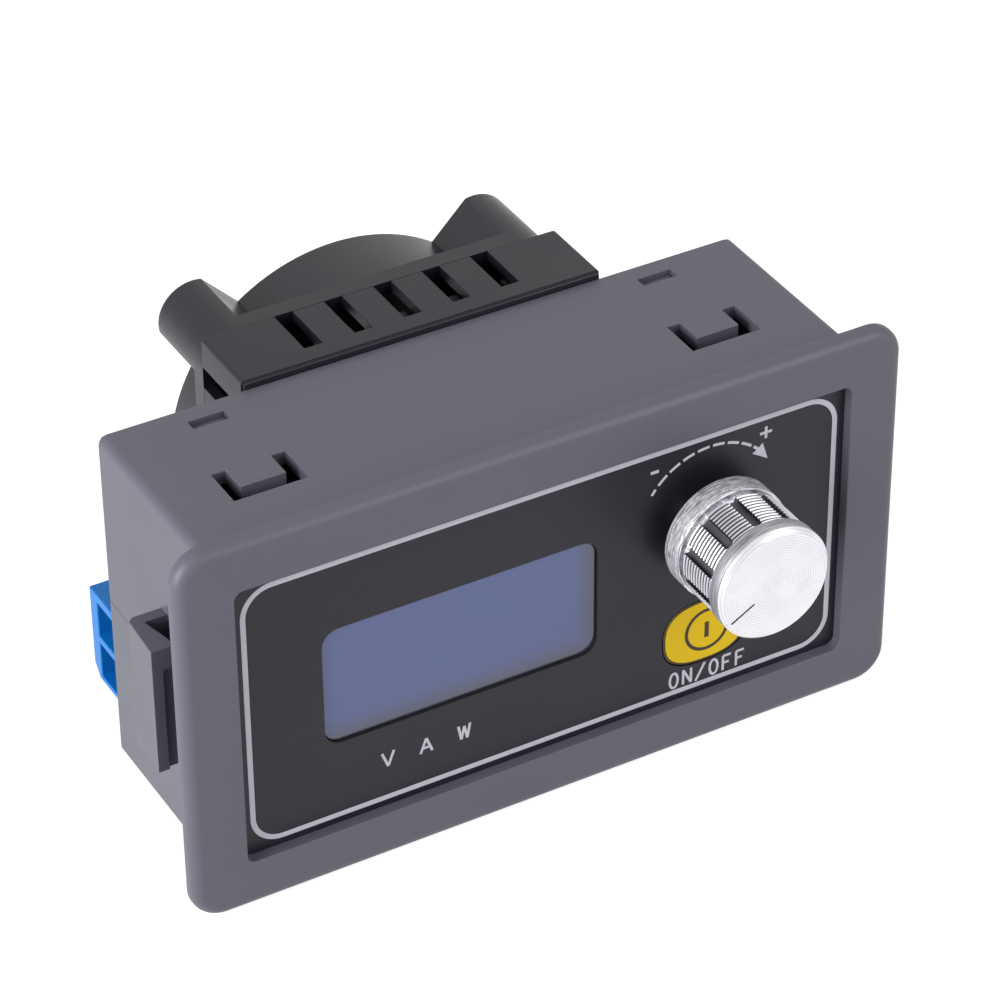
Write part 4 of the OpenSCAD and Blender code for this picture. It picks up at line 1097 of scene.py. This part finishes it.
        # Painted shade: how dark each point turns, from its depth below the crests or the face
        groove_shade = np.clip(np.where(on_grip, below_crest, np.where(on_face, below_face, 0)), 0, 1)
        mesh.attributes.new(self.GROOVE_SHADE, "FLOAT", "POINT").data.foreach_set("value", groove_shade.astype(np.float32))


@dataclass
class PowerBoard:
    """The power board with its parts, which show through the slots of the case."""

    def build(self, shop: Workshop) -> None:
        """Coats the board and everything that stands on it."""
        shop.coat("main_board", SolderMask())
        shop.coat("board_header", BLACK_PLASTIC)
        shop.coat("mosfet", CHIP_EPOXY)
        shop.coat("mosfet_screw", ZINC_STEEL)
        shop.coat("shunt_resistor", WOUND_COPPER)
        shop.coat("capacitor", DRAWN_CAN)


@dataclass
class Cooling:
    """The heatsink, its duct and the fan."""

    def build(self, shop: Workshop) -> None:
        """Softens the mouldings' edges and coats the motor's pieces."""
        shop.coat("heatsink", ANODISED_ALUMINIUM)
        shop.coat("heatsink_screws", ZINC_STEEL)
        shop.soften("air_duct", DUCT_PLASTIC, edge_mm=0.07)
        shop.soften("fan_frame", FAN_PLASTIC, edge_mm=0, join_flats=False)
        shop.soften("fan_rotor", FAN_PLASTIC, edge_mm=0.08, sharp=40.0)
        shop.coat("fan_bearing", SPRING_BRASS)
        shop.coat("fan_stator", WOUND_COPPER)
        shop.coat("fan_shaft", ZINC_STEEL)
        shop.coat("fan_magnet", MAGNET_RUBBER)
        shop.soften("fan_screws", ZINC_STEEL, edge_mm=0.08)


@dataclass
class Connectors:
    """The screw terminal and the supply jack on the back."""

    def build(self, shop: Workshop) -> None:
        """Softens the housings' edges and coats the contacts."""
        shop.soften("terminal_housing", TERMINAL_PLASTIC)
        shop.coat("terminal_pins", SPRING_BRASS)
        for way in ("upper", "lower"):
            shop.soften(f"terminal_screw_{way}", ZINC_STEEL, edge_mm=0.06)
            shop.soften(f"terminal_cage_{way}", ZINC_STEEL, edge_mm=0.06)
        shop.soften("dc_jack_housing", BLACK_PLASTIC)
        shop.coat("dc_jack_contact", TINNED_BRASS)


@dataclass(frozen=True)
class SoftLight:
    """A large lamp: its place and what it points at in millimetres, its side, and its power in watts."""

    name: str
    place: tuple[float, float, float]
    target: tuple[float, float, float]
    side: float
    power: float

    def build(self) -> None:
        """Hangs the lamp and turns it to its target."""
        data = bpy.data.lights.new(self.name, "AREA")
        data.shape = "SQUARE"
        data.size = self.side * MM
        data.energy = self.power
        lamp = bpy.data.objects.new(self.name, data)
        lamp.location = Vector(self.place) * MM
        aim = Vector(self.target) - Vector(self.place)
        lamp.rotation_euler = aim.to_track_quat("-Z", "Y").to_euler()
        bpy.context.scene.collection.objects.link(lamp)


@dataclass
class Studio:
    """The camera, the lamps and the pale floor."""

    camera_place: tuple[float, float, float] = (-162.093, -279.961, 245.241)
    camera_right: tuple[float, float, float] = (0.86937, -0.49411, -0.00674)
    camera_up: tuple[float, float, float] = (0.29257, 0.50369, 0.81283)
    camera_back: tuple[float, float, float] = (-0.39823, -0.70863, 0.58246)
    lens: float = 150.97
    floor_z: float = -21.52
    floor_side: float = 6000.0
    floor_glow: float = 0.76
    sky: float = 0.31
    lamps: tuple[SoftLight, ...] = (
        SoftLight("left_softbox", (-630, -90, 190), (-20, 10, 0), 420, 4.9),
        SoftLight("right_softbox", (280, -365, 274), (10, 0, 0), 340, 0.99),
        SoftLight("top_softbox", (60, 120, 800), (0, 10, 0), 600, 0.4),
    )

    def build(self) -> None:
        """Sets up the view, the light and the floor."""
        bpy.context.scene.view_settings.view_transform = "Standard"
        self.camera()
        self.sky_light()
        self.floor()
        for lamp in self.lamps:
            lamp.build()

    def camera(self) -> None:
        """Places the camera where the photograph was taken from."""
        data = bpy.data.cameras.new("photograph_view")
        data.lens = self.lens
        data.sensor_width = 36.0
        data.clip_start = 0.01
        data.clip_end = 20.0
        camera = bpy.data.objects.new("photograph_view", data)
        turn = Matrix((self.camera_right, self.camera_up, self.camera_back)).transposed()
        camera.matrix_world = Matrix.Translation(Vector(self.camera_place) * MM) @ turn.to_4x4()
        bpy.context.scene.collection.objects.link(camera)
        bpy.context.scene.camera = camera

    def seen(self, tree: bpy.types.NodeTree) -> bpy.types.NodeSocket:
        """Gives one for camera, glossy and transmission rays, and zero for the rays that light the object."""
        camera = add_node(tree, "LightPath", {}, "Is Camera Ray")
        path = camera.node.outputs
        first = add_node(tree, "Math", {0: camera, 1: path["Is Glossy Ray"]}, operation="MAXIMUM")
        return add_node(tree, "Math", {0: first, 1: path["Is Transmission Ray"]}, operation="MAXIMUM")

    def sky_light(self) -> None:
        """Makes an even white surround: white to the eye and in reflections, dimmer as a light."""
        world = bpy.data.worlds.new("white_surround")
        world.use_nodes = True
        tree = world.node_tree
        level = add_node(tree, "MapRange", {"Value": self.seen(tree), "To Min": self.sky, "To Max": 1.0})
        feed(tree.nodes["Background"], {"Color": "#ffffff", "Strength": level})
        bpy.context.scene.world = world

    def floor(self) -> None:
        """Lays a pale matt floor that keeps the object's shadow and shows white to the eye."""
        half = self.floor_side / 2
        points = np.array([[-half, -half, self.floor_z], [half, -half, self.floor_z],
                           [half, half, self.floor_z], [-half, half, self.floor_z]]) * MM
        mesh = bpy.data.meshes.new("floor")
        mesh.from_pydata(points.tolist(), [], [[0, 1, 2, 3]])
        floor = bpy.data.objects.new("floor", mesh)
        bpy.context.scene.collection.objects.link(floor)
        # Matt paper: pale and even, with no gloss
        material, tree, _ = new_material("matt_paper_floor")
        glow = add_node(tree, "Math", {0: self.seen(tree), 1: self.floor_glow}, operation="MULTIPLY")
        feed(tree.nodes[SHADER], {"Base Color": "#c8c8ca", "Roughness": 0.9, "Specular IOR Level": 0.1,
                                  "Emission Color": "#ffffff", "Emission Strength": glow})
        mesh.materials.append(material)


def main() -> None:
    """Loads the frame, dresses each sub-assembly in order and sets up the studio."""
    logging.basicConfig(level=logging.INFO, format="%(name)s: %(message)s")
    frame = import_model()
    shop = Workshop(frame)
    Studio().build()
    for assembly in (CaseShell(), FrontFace(), Knob(), PowerBoard(), Cooling(), Connectors()):
        assembly.build(shop)


if __name__ == "__main__":
    main()
